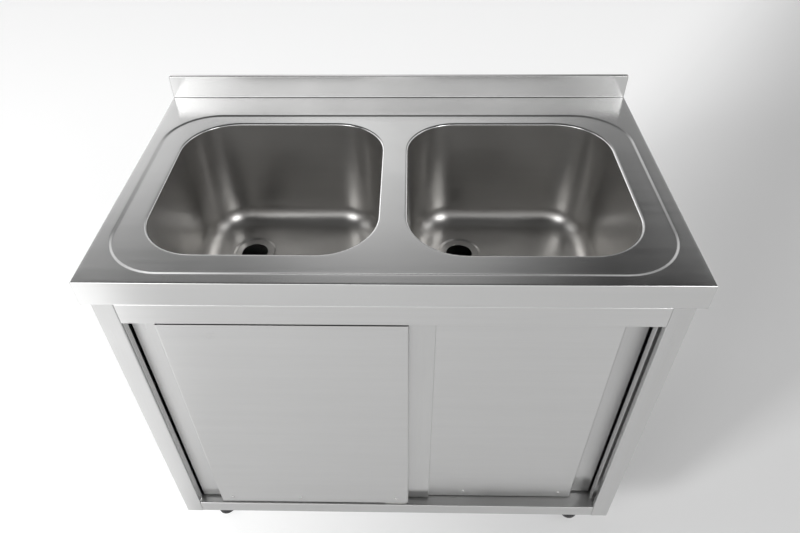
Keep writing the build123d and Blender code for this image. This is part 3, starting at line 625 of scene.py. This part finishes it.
# %% [markdown]
# ## Bowls
# A bowl is deep drawn: its walls lean in by two degrees, its floor meets them in a large radius,
# and the drain hole sits in a shallow round recess. A subdivided cage could come near that, but
# its radii would be a guess. Here each row is the mouth's loop moved in, so the corner radius
# shrinks as it does in the drawing die. On the floor the rows run on to the recess, where each
# point heads straight for the drain's middle, so that no two of them cross.

# %% Bowl sizes
BOWL_FLOOR, BOWL_GAUGE, BOWL_RIM = 0.600, 0.0012, 0.009
WALL_LEAN = np.radians(2)
FLOOR_RADIUS, FLOOR_FALL = 0.042, 0.0010
DRAIN_OFFSET = np.array([-0.088, 0.081])
RECESS_RADIUS, RECESS_DEPTH, RECESS_LIP = 0.0445, 0.004, 0.003
HOLE_RADIUS, HOLE_LIP = 0.0285, 0.001
BOWL_TOP = FIELD_TOP - MOUTH_EDGE
WALL_STEPS, ARC_STEPS, FLOOR_ROWS, HOLE_ROWS = 11, 15, 9, 5
print("bowl depth under the field", FIELD_TOP - BOWL_FLOOR)

# %% Walls and drain
def wall_rows():
    """Inset and height down the wall and round the floor radius, from mouth to flat floor."""
    centre_z = BOWL_FLOOR + FLOOR_RADIUS
    turn = np.linspace(WALL_LEAN, np.pi / 2, ARC_STEPS)
    centre_inset = (BOWL_TOP - centre_z) * np.tan(WALL_LEAN) + FLOOR_RADIUS / np.cos(WALL_LEAN)
    arc = np.stack([centre_inset - FLOOR_RADIUS * np.cos(turn),
                    centre_z - FLOOR_RADIUS * np.sin(turn)], 1)
    share = np.linspace(0, 1, WALL_STEPS)[:-1, None]
    wall = (1 - share) * (0.0, BOWL_TOP) + share * arc[0]
    return np.concatenate([wall, arc])


def drain_rows(middle, outer):
    """Rows from the floor's edge to the drain: the floor falls a little, then recess and hole."""
    drain = np.array(middle) + DRAIN_OFFSET
    heading = outer - drain
    heading = heading / np.linalg.norm(heading, axis=1, keepdims=True)
    lip = drain + heading * (RECESS_RADIUS + RECESS_LIP)
    shares = np.linspace(0, 1, FLOOR_ROWS)[1:]
    floor = [(outer * (1 - s) + lip * s, BOWL_FLOOR - FLOOR_FALL * s**2) for s in shares]
    recess = [(drain + heading * (RECESS_RADIUS + RECESS_LIP - 2 * RECESS_LIP * s),
               BOWL_FLOOR - FLOOR_FALL - (RECESS_DEPTH - FLOOR_FALL) * smooth_s(s)) for s in shares]
    pan = BOWL_FLOOR - RECESS_DEPTH
    hole = [(drain + heading * (HOLE_RADIUS + HOLE_LIP - HOLE_LIP * np.sin(a)),
             pan - HOLE_LIP * (1 - np.cos(a))) for a in np.radians(np.linspace(0, 90, HOLE_ROWS))]
    return [raised(flat, height) for flat, height in floor + recess + hole]


print("rows down the wall", len(wall_rows()))

# %% The bowls
SHARP = np.radians(60)


def bowl_surface(side):
    """Rim, wall, floor radius, floor, recess and hole of one bowl as a single grid of loops."""
    walls = [mouth_row(side, -inset, height) for inset, height in wall_rows()]
    floor_rows = drain_rows((side * BOWL_X, BOWL_Y), walls[-1][:, :2])
    rows = np.stack([mouth_row(side, BOWL_RIM, BOWL_TOP)] + walls + floor_rows)
    depths = np.linalg.norm(np.diff(rows, axis=0), axis=2).mean(axis=1).cumsum()
    lengths = np.linalg.norm(np.diff(walls[0], axis=0), axis=1).cumsum()
    chart = np.meshgrid(np.concatenate([[0.0], lengths]), np.concatenate([[0.0], depths]))
    return patch(rows, np.stack(chart, axis=-1), flipped=True)


for name, side in SIDES:
    bowl = make_piece(f"{name}_bowl_drawn", [bowl_surface(side)], "cabinet", f"{name}_bowl",
                      "bowl_steel", thickness=BOWL_GAUGE, side=-1.0)
    bowl.data.set_sharp_from_angle(angle=SHARP)
    bowl.modifiers["shading"].keep_sharp = True

# %% [markdown]
# ## Folded sheets of the cupboard
# Side panels, fascia, shelf, jambs and back panel are strips folded lengthwise. A curve with a
# flat profile could be swept for each, but it would give no map in metres. Here each one is a line
# with rounded bends, drawn in the middle of the sheet, and carried straight along. Solidify gives
# the gauge to both sides, so the inside of a bend is tighter than the outside, as in a press
# brake.

# %% Folded line
STRAIGHT = np.radians(89)


def folded_line(corners, radius, steps=5):
    """Straights joined by arcs; each centre is radius / sin(half) along the corner's bisector."""
    corners = np.asarray(corners, float)
    line = [corners[:1]]
    for before, here, after in zip(corners, corners[1:], corners[2:]):
        back = (before - here) / np.linalg.norm(before - here)
        ahead = (after - here) / np.linalg.norm(after - here)
        half = np.arccos(np.clip(back @ ahead, -1, 1)) / 2
        if half > STRAIGHT:
            line.append(here[None])
            continue
        centre = here + (back + ahead) / np.linalg.norm(back + ahead) * radius / np.sin(half)
        first = here + back * radius / np.tan(half) - centre
        last = here + ahead * radius / np.tan(half) - centre
        swing = np.pi - 2 * half
        share = np.linspace(0, 1, steps + 1)[:, None]
        turned_share = np.sin((1 - share) * swing) * first + np.sin(share * swing) * last
        line.append(centre + turned_share / np.sin(swing))
    line.append(corners[-1:])
    return np.concatenate(line)


def line_length(line):
    """The distance walked along a line at each of its points."""
    steps = np.linalg.norm(np.diff(line, axis=0), axis=1)
    return np.concatenate([[0.0], steps.cumsum()])


print("one square bend has", len(folded_line([(0, 0), (1, 0), (1, 1)], 0.1)), "points")

# %% Lines carried along
def carried(line, stops, upwards=False):
    """A line of depth and height carried along X, or of width and depth along Z; brushed so too."""
    along, first = np.meshgrid(stops, line[:, 0], indexing="ij")
    second = np.broadcast_to(line[:, 1], along.shape)
    points = np.stack((first, second, along) if upwards else (along, first, second), axis=-1)
    chart = np.stack([along, np.broadcast_to(line_length(line), along.shape)], axis=-1)
    return patch(points, chart)


print("helper carried")

# %% Side panels
GAUGE, BEND = 0.0012, 0.0015
HALF = GAUGE / 2
BODY_HALF, BODY_FRONT, BODY_REAR, BODY_BOTTOM = 0.483, -0.299, 0.290, 0.109
OPENING_HALF, RAIL_HALF, SHELF_TOP, FASCIA_BOTTOM = 0.446, 0.4455, 0.145, 0.7545
BODY_STEPS = np.linspace(BODY_BOTTOM, APRON_BOTTOM, 9)
RAIL_STEPS = np.linspace(-RAIL_HALF, RAIL_HALF, 13)
STILE_RETURN = {"left": 0.004, "right": 0.011}
OUTER_FRONT = BODY_FRONT + HALF

for name, side in SIDES:
    outer, inner = side * (BODY_HALF - HALF), side * (OPENING_HALF + HALF)
    line = folded_line([(inner, BODY_FRONT + STILE_RETURN[name]), (inner, OUTER_FRONT),
                        (outer, OUTER_FRONT), (outer, BODY_REAR - HALF),
                        (inner, BODY_REAR - HALF)], BEND)
    make_piece(f"{name}_side_sheet", [carried(line, BODY_STEPS, upwards=True)], "cabinet",
               f"{name}_side_panel", "cupboard_steel", thickness=GAUGE)

# %% Fascia
FASCIA_TOP_FLANGE, FASCIA_LOWER_FLANGE = 0.056, 0.010
fascia_line = folded_line([(BODY_FRONT + FASCIA_TOP_FLANGE, APRON_BOTTOM - HALF),
                           (OUTER_FRONT, APRON_BOTTOM - HALF),
                           (OUTER_FRONT, FASCIA_BOTTOM + HALF),
                           (BODY_FRONT + FASCIA_LOWER_FLANGE, FASCIA_BOTTOM + HALF)], BEND)
make_piece("fascia_sheet", [carried(fascia_line, RAIL_STEPS)], "cabinet", "fascia",
           "cupboard_steel", thickness=GAUGE)

# %% Shelf
SHELF_REAR, SHELF_FLANGE, SHELF_TURN_DOWN = 0.2876, 0.015, 0.020
WING_FRONT, WING_REAR, WING_FAR = -0.2868, 0.2846, BODY_HALF - GAUGE
SHELF_MIDDLE = SHELF_TOP - HALF
shelf_line = folded_line([(BODY_FRONT + SHELF_FLANGE, BODY_BOTTOM + HALF),
                          (OUTER_FRONT, BODY_BOTTOM + HALF), (OUTER_FRONT, SHELF_MIDDLE),
                          (WING_FRONT, SHELF_MIDDLE), (WING_REAR, SHELF_MIDDLE),
                          (SHELF_REAR - HALF, SHELF_MIDDLE),
                          (SHELF_REAR - HALF, SHELF_TOP - SHELF_TURN_DOWN)], BEND)
wing_line = np.array([(WING_FRONT, SHELF_MIDDLE), (WING_REAR, SHELF_MIDDLE)])
shelf = [carried(shelf_line, RAIL_STEPS), carried(wing_line, (-WING_FAR, -RAIL_HALF)),
         carried(wing_line, (RAIL_HALF, WING_FAR))]
make_piece("shelf_sheet", shelf, "cabinet", "bottom_shelf", "cupboard_steel", thickness=GAUGE)

# %% Back panel
BACK_HALF, BACK_Y, BACK_FOLD = 0.4645, 0.2882, 0.0144
back_steps = np.concatenate([[-BACK_HALF], RAIL_STEPS, [BACK_HALF]])
plate = upright(back_steps, BACK_Y, BODY_STEPS)
top_fold = np.array([(BACK_Y - BACK_FOLD, APRON_BOTTOM - HALF), (BACK_Y, APRON_BOTTOM - HALF),
                     (BACK_Y, APRON_BOTTOM)])
make_piece("back_sheet", [patch(plate, plate[..., ::2]), carried(top_fold, RAIL_STEPS)],
           "cabinet", "back_panel", "cupboard_steel", thickness=GAUGE)

# %% [markdown]
# ## Jambs
# A jamb is the channel in the groove between a stile and its door, with upright ribs that show as
# dark and light lines. A striped pattern could paint them, but only folds catch the light from
# every side, so the ribs are small bends of the same folded line.

# %% Jambs
DOOR_FACES = {"left": -0.295, "right": -0.275}
JAMB_GAP, JAMB_WIDTH, JAMB_ROWS = 0.0015, 0.0145, 5
RIB_COUNT, RIB_HEIGHT, RIB_BEND = 3, 0.0014, 0.0006
for name, side in SIDES:
    near = DOOR_FACES[name] + JAMB_GAP + HALF
    web, wall = side * (OPENING_HALF + 3 * HALF), side * (BODY_HALF - GAUGE)
    far = near + JAMB_WIDTH - GAUGE
    ribs = [(web - side * RIB_HEIGHT * (k % 2), near + (far - near) * k / (2 * RIB_COUNT))
            for k in range(1, 2 * RIB_COUNT)]
    line = folded_line([(wall, near), (web, near), *ribs, (web, far), (wall, far)], RIB_BEND)
    web_sheet = carried(line, np.linspace(SHELF_TOP, APRON_BOTTOM, JAMB_ROWS), upwards=True)
    make_piece(f"{name}_jamb_sheet", [web_sheet], "cabinet", f"{name}_jamb", "cupboard_steel",
               thickness=GAUGE)

# %% [markdown]
# ## Doors
# A door's front is one sheet too: a panel that stands 14 mm in front of two side strips, whose
# outer edges are folded back. Above the panel only a band at the strips' depth goes on, up behind
# the fascia, and a flat cap closes the step. The panel's lower edge is folded in. It could be one
# box set on another, but then the folds' bright lines would be missing. So its outline in plan is
# a folded line, run up the door, and cap, band and foot share its points.

# %% Door sizes
DOOR_GAUGE, DOOR_HALF, DOOR_MIDDLE, PANEL_HALF = 0.001, 0.258, 0.183, 0.2115
STRIP_DEPTH, DOOR_DEPTH, FOOT_DEPTH = 0.0145, 0.017, 0.003
PANEL_BOTTOM, STRIP_BOTTOM, PANEL_TOP, BAND_TOP = 0.1485, 0.1505, 0.747, 0.762
DOOR_FOLD, FLAT_MARGIN, FLAT_STEPS, DOOR_ROWS = 0.001, 0.004, 11, 9
SKIN = DOOR_GAUGE / 2
print("door", 2 * DOOR_HALF, "m wide, its panel", 2 * PANEL_HALF)

# %% Plan and front of a door
def door_plan():
    """The door's outline in plan, from its left edge round the panel to its right edge."""
    half, panel = DOOR_HALF - SKIN, PANEL_HALF - SKIN
    across = np.linspace(-panel + FLAT_MARGIN, panel - FLAT_MARGIN, FLAT_STEPS)
    corners = [(-half, DOOR_DEPTH), (-half, STRIP_DEPTH), (-panel, STRIP_DEPTH), (-panel, SKIN)]
    corners += [(x, SKIN) for x in across] + [(-x, y) for x, y in corners[::-1]]
    return folded_line(corners, BEND)


def door_front(line, place, flat):
    """The plan run up, its strips brushed up and down and its panel, the flat part, across."""
    on_strip = np.abs(line[:, 0]) > PANEL_HALF - SKIN + BEND / 2
    bottom = np.where(on_strip, STRIP_BOTTOM, PANEL_BOTTOM)
    share = np.linspace(0, 1, DOOR_ROWS)[:, None]
    heights = bottom * (1 - share) + PANEL_TOP * share
    front = np.concatenate([np.broadcast_to(place, (*heights.shape, 2)), heights[..., None]],
                           axis=-1)
    along = np.broadcast_to(line_length(line), heights.shape)
    upright_grain = np.stack([heights, along], axis=-1)
    level_grain = np.stack([along, heights], axis=-1)
    left_end, right_end = flat[0], flat[-1] + 1
    return [patch(front[:, zone], chart[:, zone], True) for zone, chart in (
        (slice(0, left_end + 1), upright_grain), (slice(left_end, right_end), level_grain),
        (slice(right_end - 1, None), upright_grain))]


print("points in a door's plan", len(door_plan()))

# %% The doors
def door_sheet(name, middle, face):
    """The door's front from four parts: outline run upwards, cap, band and folded foot."""
    line = door_plan()
    inner = np.flatnonzero(np.abs(line[:, 0]) < PANEL_HALF - SKIN + BEND + MERGE)
    flat = np.flatnonzero(np.abs(line[:, 1] - SKIN) < MERGE)
    place = line + (middle, face)
    rear_x = np.linspace(place[inner[0], 0], place[inner[-1], 0], len(inner))
    rear = np.stack([rear_x, np.full(len(inner), face + STRIP_DEPTH)], axis=1)
    row = np.concatenate([place[:inner[0]], rear, place[inner[-1] + 1:]])
    cap = between(raised(place[inner], PANEL_TOP), raised(rear, PANEL_TOP), (0, 1))
    band = between(raised(row, PANEL_TOP), raised(row, BAND_TOP), (0, 1))
    foot = between(raised(place[flat], PANEL_BOTTOM),
                   raised(place[flat] + (0, FOOT_DEPTH - SKIN), PANEL_BOTTOM), (0, 1))
    patches = [*door_front(line, place, flat), patch(cap, cap[..., 1::-1]),
               patch(band, band[..., ::-2], True), patch(foot, foot[..., 1::-1], True)]
    make_piece(f"{name}_door_sheet", patches, f"{name}_door", f"{name}_door_front_skin",
               "door_steel", thickness=DOOR_GAUGE, rounding=DOOR_FOLD)


for name, side in SIDES:
    door_sheet(name, side * DOOR_MIDDLE, DOOR_FACES[name])

# %% [markdown]
# ## Turned and moulded parts
# Rivets, feet and legs are surfaces of revolution: a profile of radius and height, taken round the
# axis. Blender's Screw modifier could turn them, but it keeps every radius round. The feet's rims
# have shallow grips and the legs have ribs, so here the radius also depends on the angle.

# %% Revolved pieces
CHART_PER_RADIAN = 0.02


def revolved(profile, around, ripple=None):
    """Points at radius r and height h of the profile, for each angle; ripple adds to r."""
    angles = np.linspace(0, 2 * np.pi, around + 1)
    radius = np.broadcast_to(profile[:, :1], (len(profile), around + 1)).copy()
    if ripple is not None:
        radius += ripple(angles[None], np.arange(len(profile))[:, None])
    height = np.broadcast_to(profile[:, 1:], radius.shape)
    points = np.stack([radius * np.cos(angles), radius * np.sin(angles), height], axis=-1)
    points[:, -1] = points[:, 0]
    turned_chart = np.broadcast_to(angles * CHART_PER_RADIAN, radius.shape)
    return points, np.stack([turned_chart, height], axis=-1)


print("helper revolved")

# %% Rivets
RIVET_HEIGHT, RIVET_SPOTS = 0.168, (-0.184, -0.030, 0.184)
HEAD_RADIUS, HEAD_HEIGHT, SHANK_RADIUS, TAIL_RADIUS = 0.0035, 0.0015, 0.0016, 0.00275
TAIL_START, TAIL_END, RIVET_STEPS = 0.0025, 0.0037, 24
dome = np.radians(np.linspace(0, 78, 7))
sunk = np.cos(dome) - np.cos(dome[-1])
head = np.stack([HEAD_RADIUS * np.sin(dome) / np.sin(dome[-1]),
                 -HEAD_HEIGHT * sunk / (1 - np.cos(dome[-1]))], axis=1)
shank = [(HEAD_RADIUS, 0), (SHANK_RADIUS, 0), (SHANK_RADIUS, TAIL_START),
         (TAIL_RADIUS, TAIL_START), (TAIL_RADIUS, TAIL_END), (0, TAIL_END)]
turned_rivet, chart = revolved(np.concatenate([head, shank]), RIVET_STEPS)
facing = turned_rivet[..., [0, 2, 1]]
for name, side in SIDES:
    spots = [(side * DOOR_MIDDLE + x, DOOR_FACES[name], RIVET_HEIGHT) for x in RIVET_SPOTS]
    make_piece(f"{name}_door_rivet_heads", [patch(facing + spot, chart) for spot in spots],
               f"{name}_door", f"{name}_door_rivets", "fastener_steel", closed=True)

# %% Profiles of foot and leg, as radius and height
FOOT_RADIUS, FOOT_BEND, STEM_RADIUS, STEM_TOP = 0.020, 0.0012, 0.006, 0.078
foot_profile = folded_line([(0.0, 0.0), (FOOT_RADIUS, 0.0), (FOOT_RADIUS, 0.008), (0.012, 0.020),
                            (STEM_RADIUS, 0.020)], FOOT_BEND)
foot_profile = np.concatenate([foot_profile, [(STEM_RADIUS, STEM_TOP), (0.0, STEM_TOP)]])
BORE_RADIUS, BORE_TOP, TUBE_RADIUS, TUBE_BOTTOM, LEG_BEND = 0.00605, 0.095, 0.0155, 0.033, 0.0010
leg_outside = folded_line([(BORE_RADIUS, 0.022), (0.018, 0.022), (0.018, 0.031),
                           (TUBE_RADIUS, TUBE_BOTTOM), (TUBE_RADIUS, 0.104), (0.029, 0.104),
                           (0.029, 0.109), (0.0, 0.109)], LEG_BEND)
leg_profile = np.concatenate([[(0.0, BORE_TOP), (BORE_RADIUS, BORE_TOP)], leg_outside])
print("points in the profiles", len(foot_profile), len(leg_profile))

# %% Grips and ribs
GRIPS, GRIP_DEPTH, RIBS, RIB_RISE = 20, 0.0007, 4, 0.0012
RIB_START, RIB_RAMP, TUBE_SLACK = 0.90, 0.06, 0.0002


def foot_grips(angle, row):
    """Shallow flutes round the rim: deepest where the cosine of the angle's multiple is one."""
    radius, height = foot_profile[row, 0], foot_profile[row, 1]
    on_rim = (np.abs(radius - FOOT_RADIUS) < FOOT_BEND) & (height > FOOT_BEND / 2)
    return -GRIP_DEPTH * on_rim * (0.5 + 0.5 * np.cos(GRIPS * angle)) ** 3


def leg_ribs(angle, row):
    """Narrow ribs along the tube, raised where the cosine of the angle's multiple is near one."""
    radius, height = leg_profile[row, 0], leg_profile[row, 1]
    on_tube = (np.abs(radius - TUBE_RADIUS) < TUBE_SLACK) & (height > TUBE_BOTTOM)
    return RIB_RISE * on_tube * np.clip((np.cos(RIBS * angle) - RIB_START) / RIB_RAMP, 0, 1)


print("each foot has", GRIPS, "grips and each leg", RIBS, "ribs")

# %% Feet and legs
LEG_X, LEG_Y = 0.424, {"front": -0.234, "rear": 0.225}
FOOT_STEPS, LEG_STEPS = 120, 96
for end, y in LEG_Y.items():
    for name, side in SIDES:
        corner, spot = f"{end}_{name}", (side * LEG_X, y, 0.0)
        points, chart = revolved(foot_profile, FOOT_STEPS, foot_grips)
        make_piece(f"{corner}_foot_moulding", [patch(points + spot, chart)], f"{corner}_foot",
                   f"{corner}_foot", "black_plastic", closed=True)
        points, chart = revolved(leg_profile, LEG_STEPS, leg_ribs)
        make_piece(f"{corner}_leg_moulding", [patch(points + spot, chart)], "cabinet",
                   f"{corner}_leg", "black_plastic", closed=True)

# %% [markdown]
# ## Parts that stay as they are
# Tracks, rollers, hangers, rails, channels and screws are right as solids, and remaking them would
# add nothing that shows. Each takes the finish that the record names for it, but the doors' back
# skins, which have no map for brushed lines, take a plain satin. Only the material slot changes.

# %% Finishes on the solids
PLAIN_FINISH = {"door_steel": "door_plain"}
finishes["door_plain"] = turned_finish("door_plain", (0.56, 0.56, 0.555), (0.63, 0.63, 0.625),
                                       roughness=0.26)
slots = {part["node"]: part["material_slot"] for part in frame["record"]["subparts"]}
for node, solid in frame["nodes"].items():
    slot = slots[node]
    solid.data.materials.clear()
    solid.data.materials.append(finishes[PLAIN_FINISH.get(slot, slot)])
print("solids with finishes", len(slots))

# %% [markdown]
# ## Ground
# The unit stands on a seamless pale ground. Strong lamps could make that nearly white, but they
# would bleach the steel, so the ground glows a little instead. The camera sees more of that glow at
# the left, as in the photograph: this is painted light, bright where light falls from the left and
# fading to none at the right, where the unit's shadow lies. The metal sees a glowing patch of
# ground at the left front, a painted reflection that brightens the left stile, and a faint even
# glow elsewhere.

# %% Ground
FLOOR_REACH = 9.0
floor_mesh = bpy.data.meshes.new("studio_floor")
floor_corners = np.array([(-1, -1, 0), (1, -1, 0), (1, 1, 0), (-1, 1, 0)]) * FLOOR_REACH
floor_mesh.from_pydata(floor_corners.tolist(), [], [(0, 1, 2, 3)])
floor = bpy.data.objects.new("studio_floor", floor_mesh)
bpy.context.scene.collection.objects.link(floor)
floor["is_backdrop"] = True
ground, tree, shader = new_finish("studio_ground")
feed(tree, shader, {"Base Color": (0.70, 0.70, 0.70, 1), "Roughness": 0.9,
                    "Specular IOR Level": 0.1, "Emission Color": (1, 1, 1, 1)})
floor_mesh.materials.append(ground)
print("ground", 2 * FLOOR_REACH, "m wide")

# %% Helpers for light that changes from place to place
def smooth_along(tree, place, heading, start, end, low, high):
    """A soft change from low to high as the place's dot product with heading goes start to end."""
    along = add_node(tree, "ShaderNodeVectorMath", {0: place, 1: heading}, operation="DOT_PRODUCT")
    node = add_node(tree, "ShaderNodeMapRange",
                    {"Value": along.outputs["Value"], "From Min": start, "From Max": end,
                     "To Min": low, "To Max": high}, interpolation_type="SMOOTHSTEP")
    return node.outputs["Result"]


def worked_out(tree, operation, *values):
    """The result of a Math node whose sockets are fed by the values in turn."""
    return add_node(tree, "ShaderNodeMath", dict(enumerate(values)), operation=operation).outputs[0]


print("helpers smooth_along and worked_out")

# %% Glow for the camera and for the metal
# The first glow is painted light that the camera sees on the ground; the patch glow is a painted
# reflection that only the metal sees.
PAINTED_LIGHT_GLOW, REFLECTION_PATCH_GLOW, FAINT_GLOW = 0.38, 0.9, 0.04
PAINTED_LIGHT_EDGE = ((1.0, -0.7, 0.0), -0.4, 0.8)  # as for the card: heading, start and end
REFLECTION_PATCH_EDGE = ((-0.852, 0.523, 0.0), 0.23, 0.30)
REFLECTION_PATCH_LIMITS = (((0.0, 1.0, 0.0), 0.0, -0.4), ((1.0, 0.0, 0.0), -2.0, -1.1))
where = add_node(tree, "ShaderNodeTexCoord").outputs["Object"]
path = add_node(tree, "ShaderNodeLightPath")
# Painted light: the glow the camera sees on the ground is strongest at the left and fades to none
# towards the right front, where the shadow falls.
painted_light = smooth_along(tree, where, *PAINTED_LIGHT_EDGE, PAINTED_LIGHT_GLOW, 0.0)
seen = worked_out(tree, "MULTIPLY_ADD", path.outputs["Is Camera Ray"], painted_light, 0.0)
# Painted reflection: a patch of ground at the left front glows for glossy rays only, so the metal
# mirrors a bright area that the camera never sees.
reflection_patch = smooth_along(tree, where, *REFLECTION_PATCH_EDGE, 0.0, REFLECTION_PATCH_GLOW)
for limit in REFLECTION_PATCH_LIMITS:
    reflection_patch = worked_out(tree, "MULTIPLY", reflection_patch, smooth_along(tree, where, *limit, 0.0, 1.0))
mirrored = worked_out(tree, "ADD", reflection_patch, FAINT_GLOW)
glow = worked_out(tree, "MULTIPLY_ADD", path.outputs["Is Glossy Ray"], mirrored, seen)
feed(tree, shader, {"Emission Strength": glow})
print("the card glows by", REFLECTION_PATCH_GLOW, "and the rest of the ground by", FAINT_GLOW)

# %% [markdown]
# ## World
# Polished sheet shows the room more than its own colour. A picture of a studio could wrap the
# world, but a table of round soft areas is easier to tune: each row is an azimuth from the wall's
# side towards +X, an elevation, a half width, all in degrees, and a brightness. The strongest
# stands low beyond the rear left corner, others at both sides and behind the camera, and the
# ceiling is dark. The camera itself sees an even white.

# %% Soft areas
SOFT_AREAS = ((-16, 28, 20, 0.44), (0, 28, 20, 0.92), (0, 58, 26, 0.13), (0, 90, 34, 0.10),
              (-40, 10, 30, 2.50), (39, 11, 30, 1.30), (-80, 30, 30, 1.50), (80, 30, 30, 1.45),
              (110, 30, 30, 0.40), (163, 27, 18, 0.60), (180, 27, 18, 1.05), (197, 27, 18, 1.40),
              (214, 27, 20, 1.70), (145, 3, 28, 1.20), (180, 3, 28, 1.20), (215, 3, 28, 1.20))
world = bpy.data.worlds.new("studio")
bpy.context.scene.world = world
world.use_nodes = True
room = world.node_tree
direction = add_node(room, "ShaderNodeTexCoord").outputs["Generated"]


def soft_area(azimuth, elevation, half_width, brightness):
    """A round soft area: brightness falls by a smooth S, from its middle to its half width away."""
    turn, rise = np.radians(azimuth), np.radians(elevation)
    middle = (np.sin(turn) * np.cos(rise), np.cos(turn) * np.cos(rise), np.sin(rise))
    edge = np.cos(np.radians(half_width))
    return smooth_along(room, direction, middle, edge, 1.0, 0.0, brightness)


print("soft areas", len(SOFT_AREAS))

# %% Their sum, and the white that the camera sees
SEEN_WHITE = 0.95
light = soft_area(*SOFT_AREAS[0])
for area in SOFT_AREAS[1:]:
    light = worked_out(room, "ADD", light, soft_area(*area))
sight = add_node(room, "ShaderNodeLightPath")
shown = add_node(room, "ShaderNodeMix", {"Factor": sight.outputs["Is Camera Ray"], "A": light,
                                         "B": SEEN_WHITE}, data_type="FLOAT")
feed(room, room.nodes["Background"], {"Strength": shown.outputs["Result"], "Color": (1, 1, 1, 1)})
print("nodes in the world", len(room.nodes))

# %% [markdown]
# ## Lamps
# Two soft lamps at the front corners light the matt parts and the ground. The photograph's shadow
# falls long and soft to the right. One strong lamp could throw it, but it would also burn a spot
# into the steel, so a third lamp does it alone: it is linked to the ground, and the metal never
# sees it.

# %% Lamps
LAMP_SIZE, SHADOW_LAMP_SIZE = 1.4, 1.2
UNIT_MIDDLE = (0.0, 0.0, 0.4)


def soft_lamp(name, place, target, size, power):
    """A flat square lamp that faces its target."""
    data = bpy.data.lights.new(name, "AREA")
    data.shape = "RECTANGLE"
    data.size, data.size_y, data.energy = size, size, power
    lamp = bpy.data.objects.new(name, data)
    lamp.location = place
    lamp.rotation_mode = "QUATERNION"
    lamp.rotation_quaternion = Vector(np.array(target) - place).to_track_quat("-Z", "Y")
    bpy.context.scene.collection.objects.link(lamp)
    return lamp


soft_lamp("front_left", (-2.6, -3.0, 3.6), UNIT_MIDDLE, LAMP_SIZE, power=36.0)
soft_lamp("front_right", (2.6, -3.0, 3.6), UNIT_MIDDLE, LAMP_SIZE, power=52.0)
ground_lamp = soft_lamp("ground_lamp", (-5.2, -3.7, 3.0), (0.0, 0.0, 0.0), SHADOW_LAMP_SIZE,
                        power=300.0)
lit_ground = bpy.data.collections.new("lit_ground")
lit_ground.objects.link(floor)
ground_lamp.light_linking.receiver_collection = lit_ground
bpy.context.scene.view_settings.view_transform = "Standard"
print("lamps", len(bpy.data.lights))

# %% The finished model's box
print("visual box", box_lists())
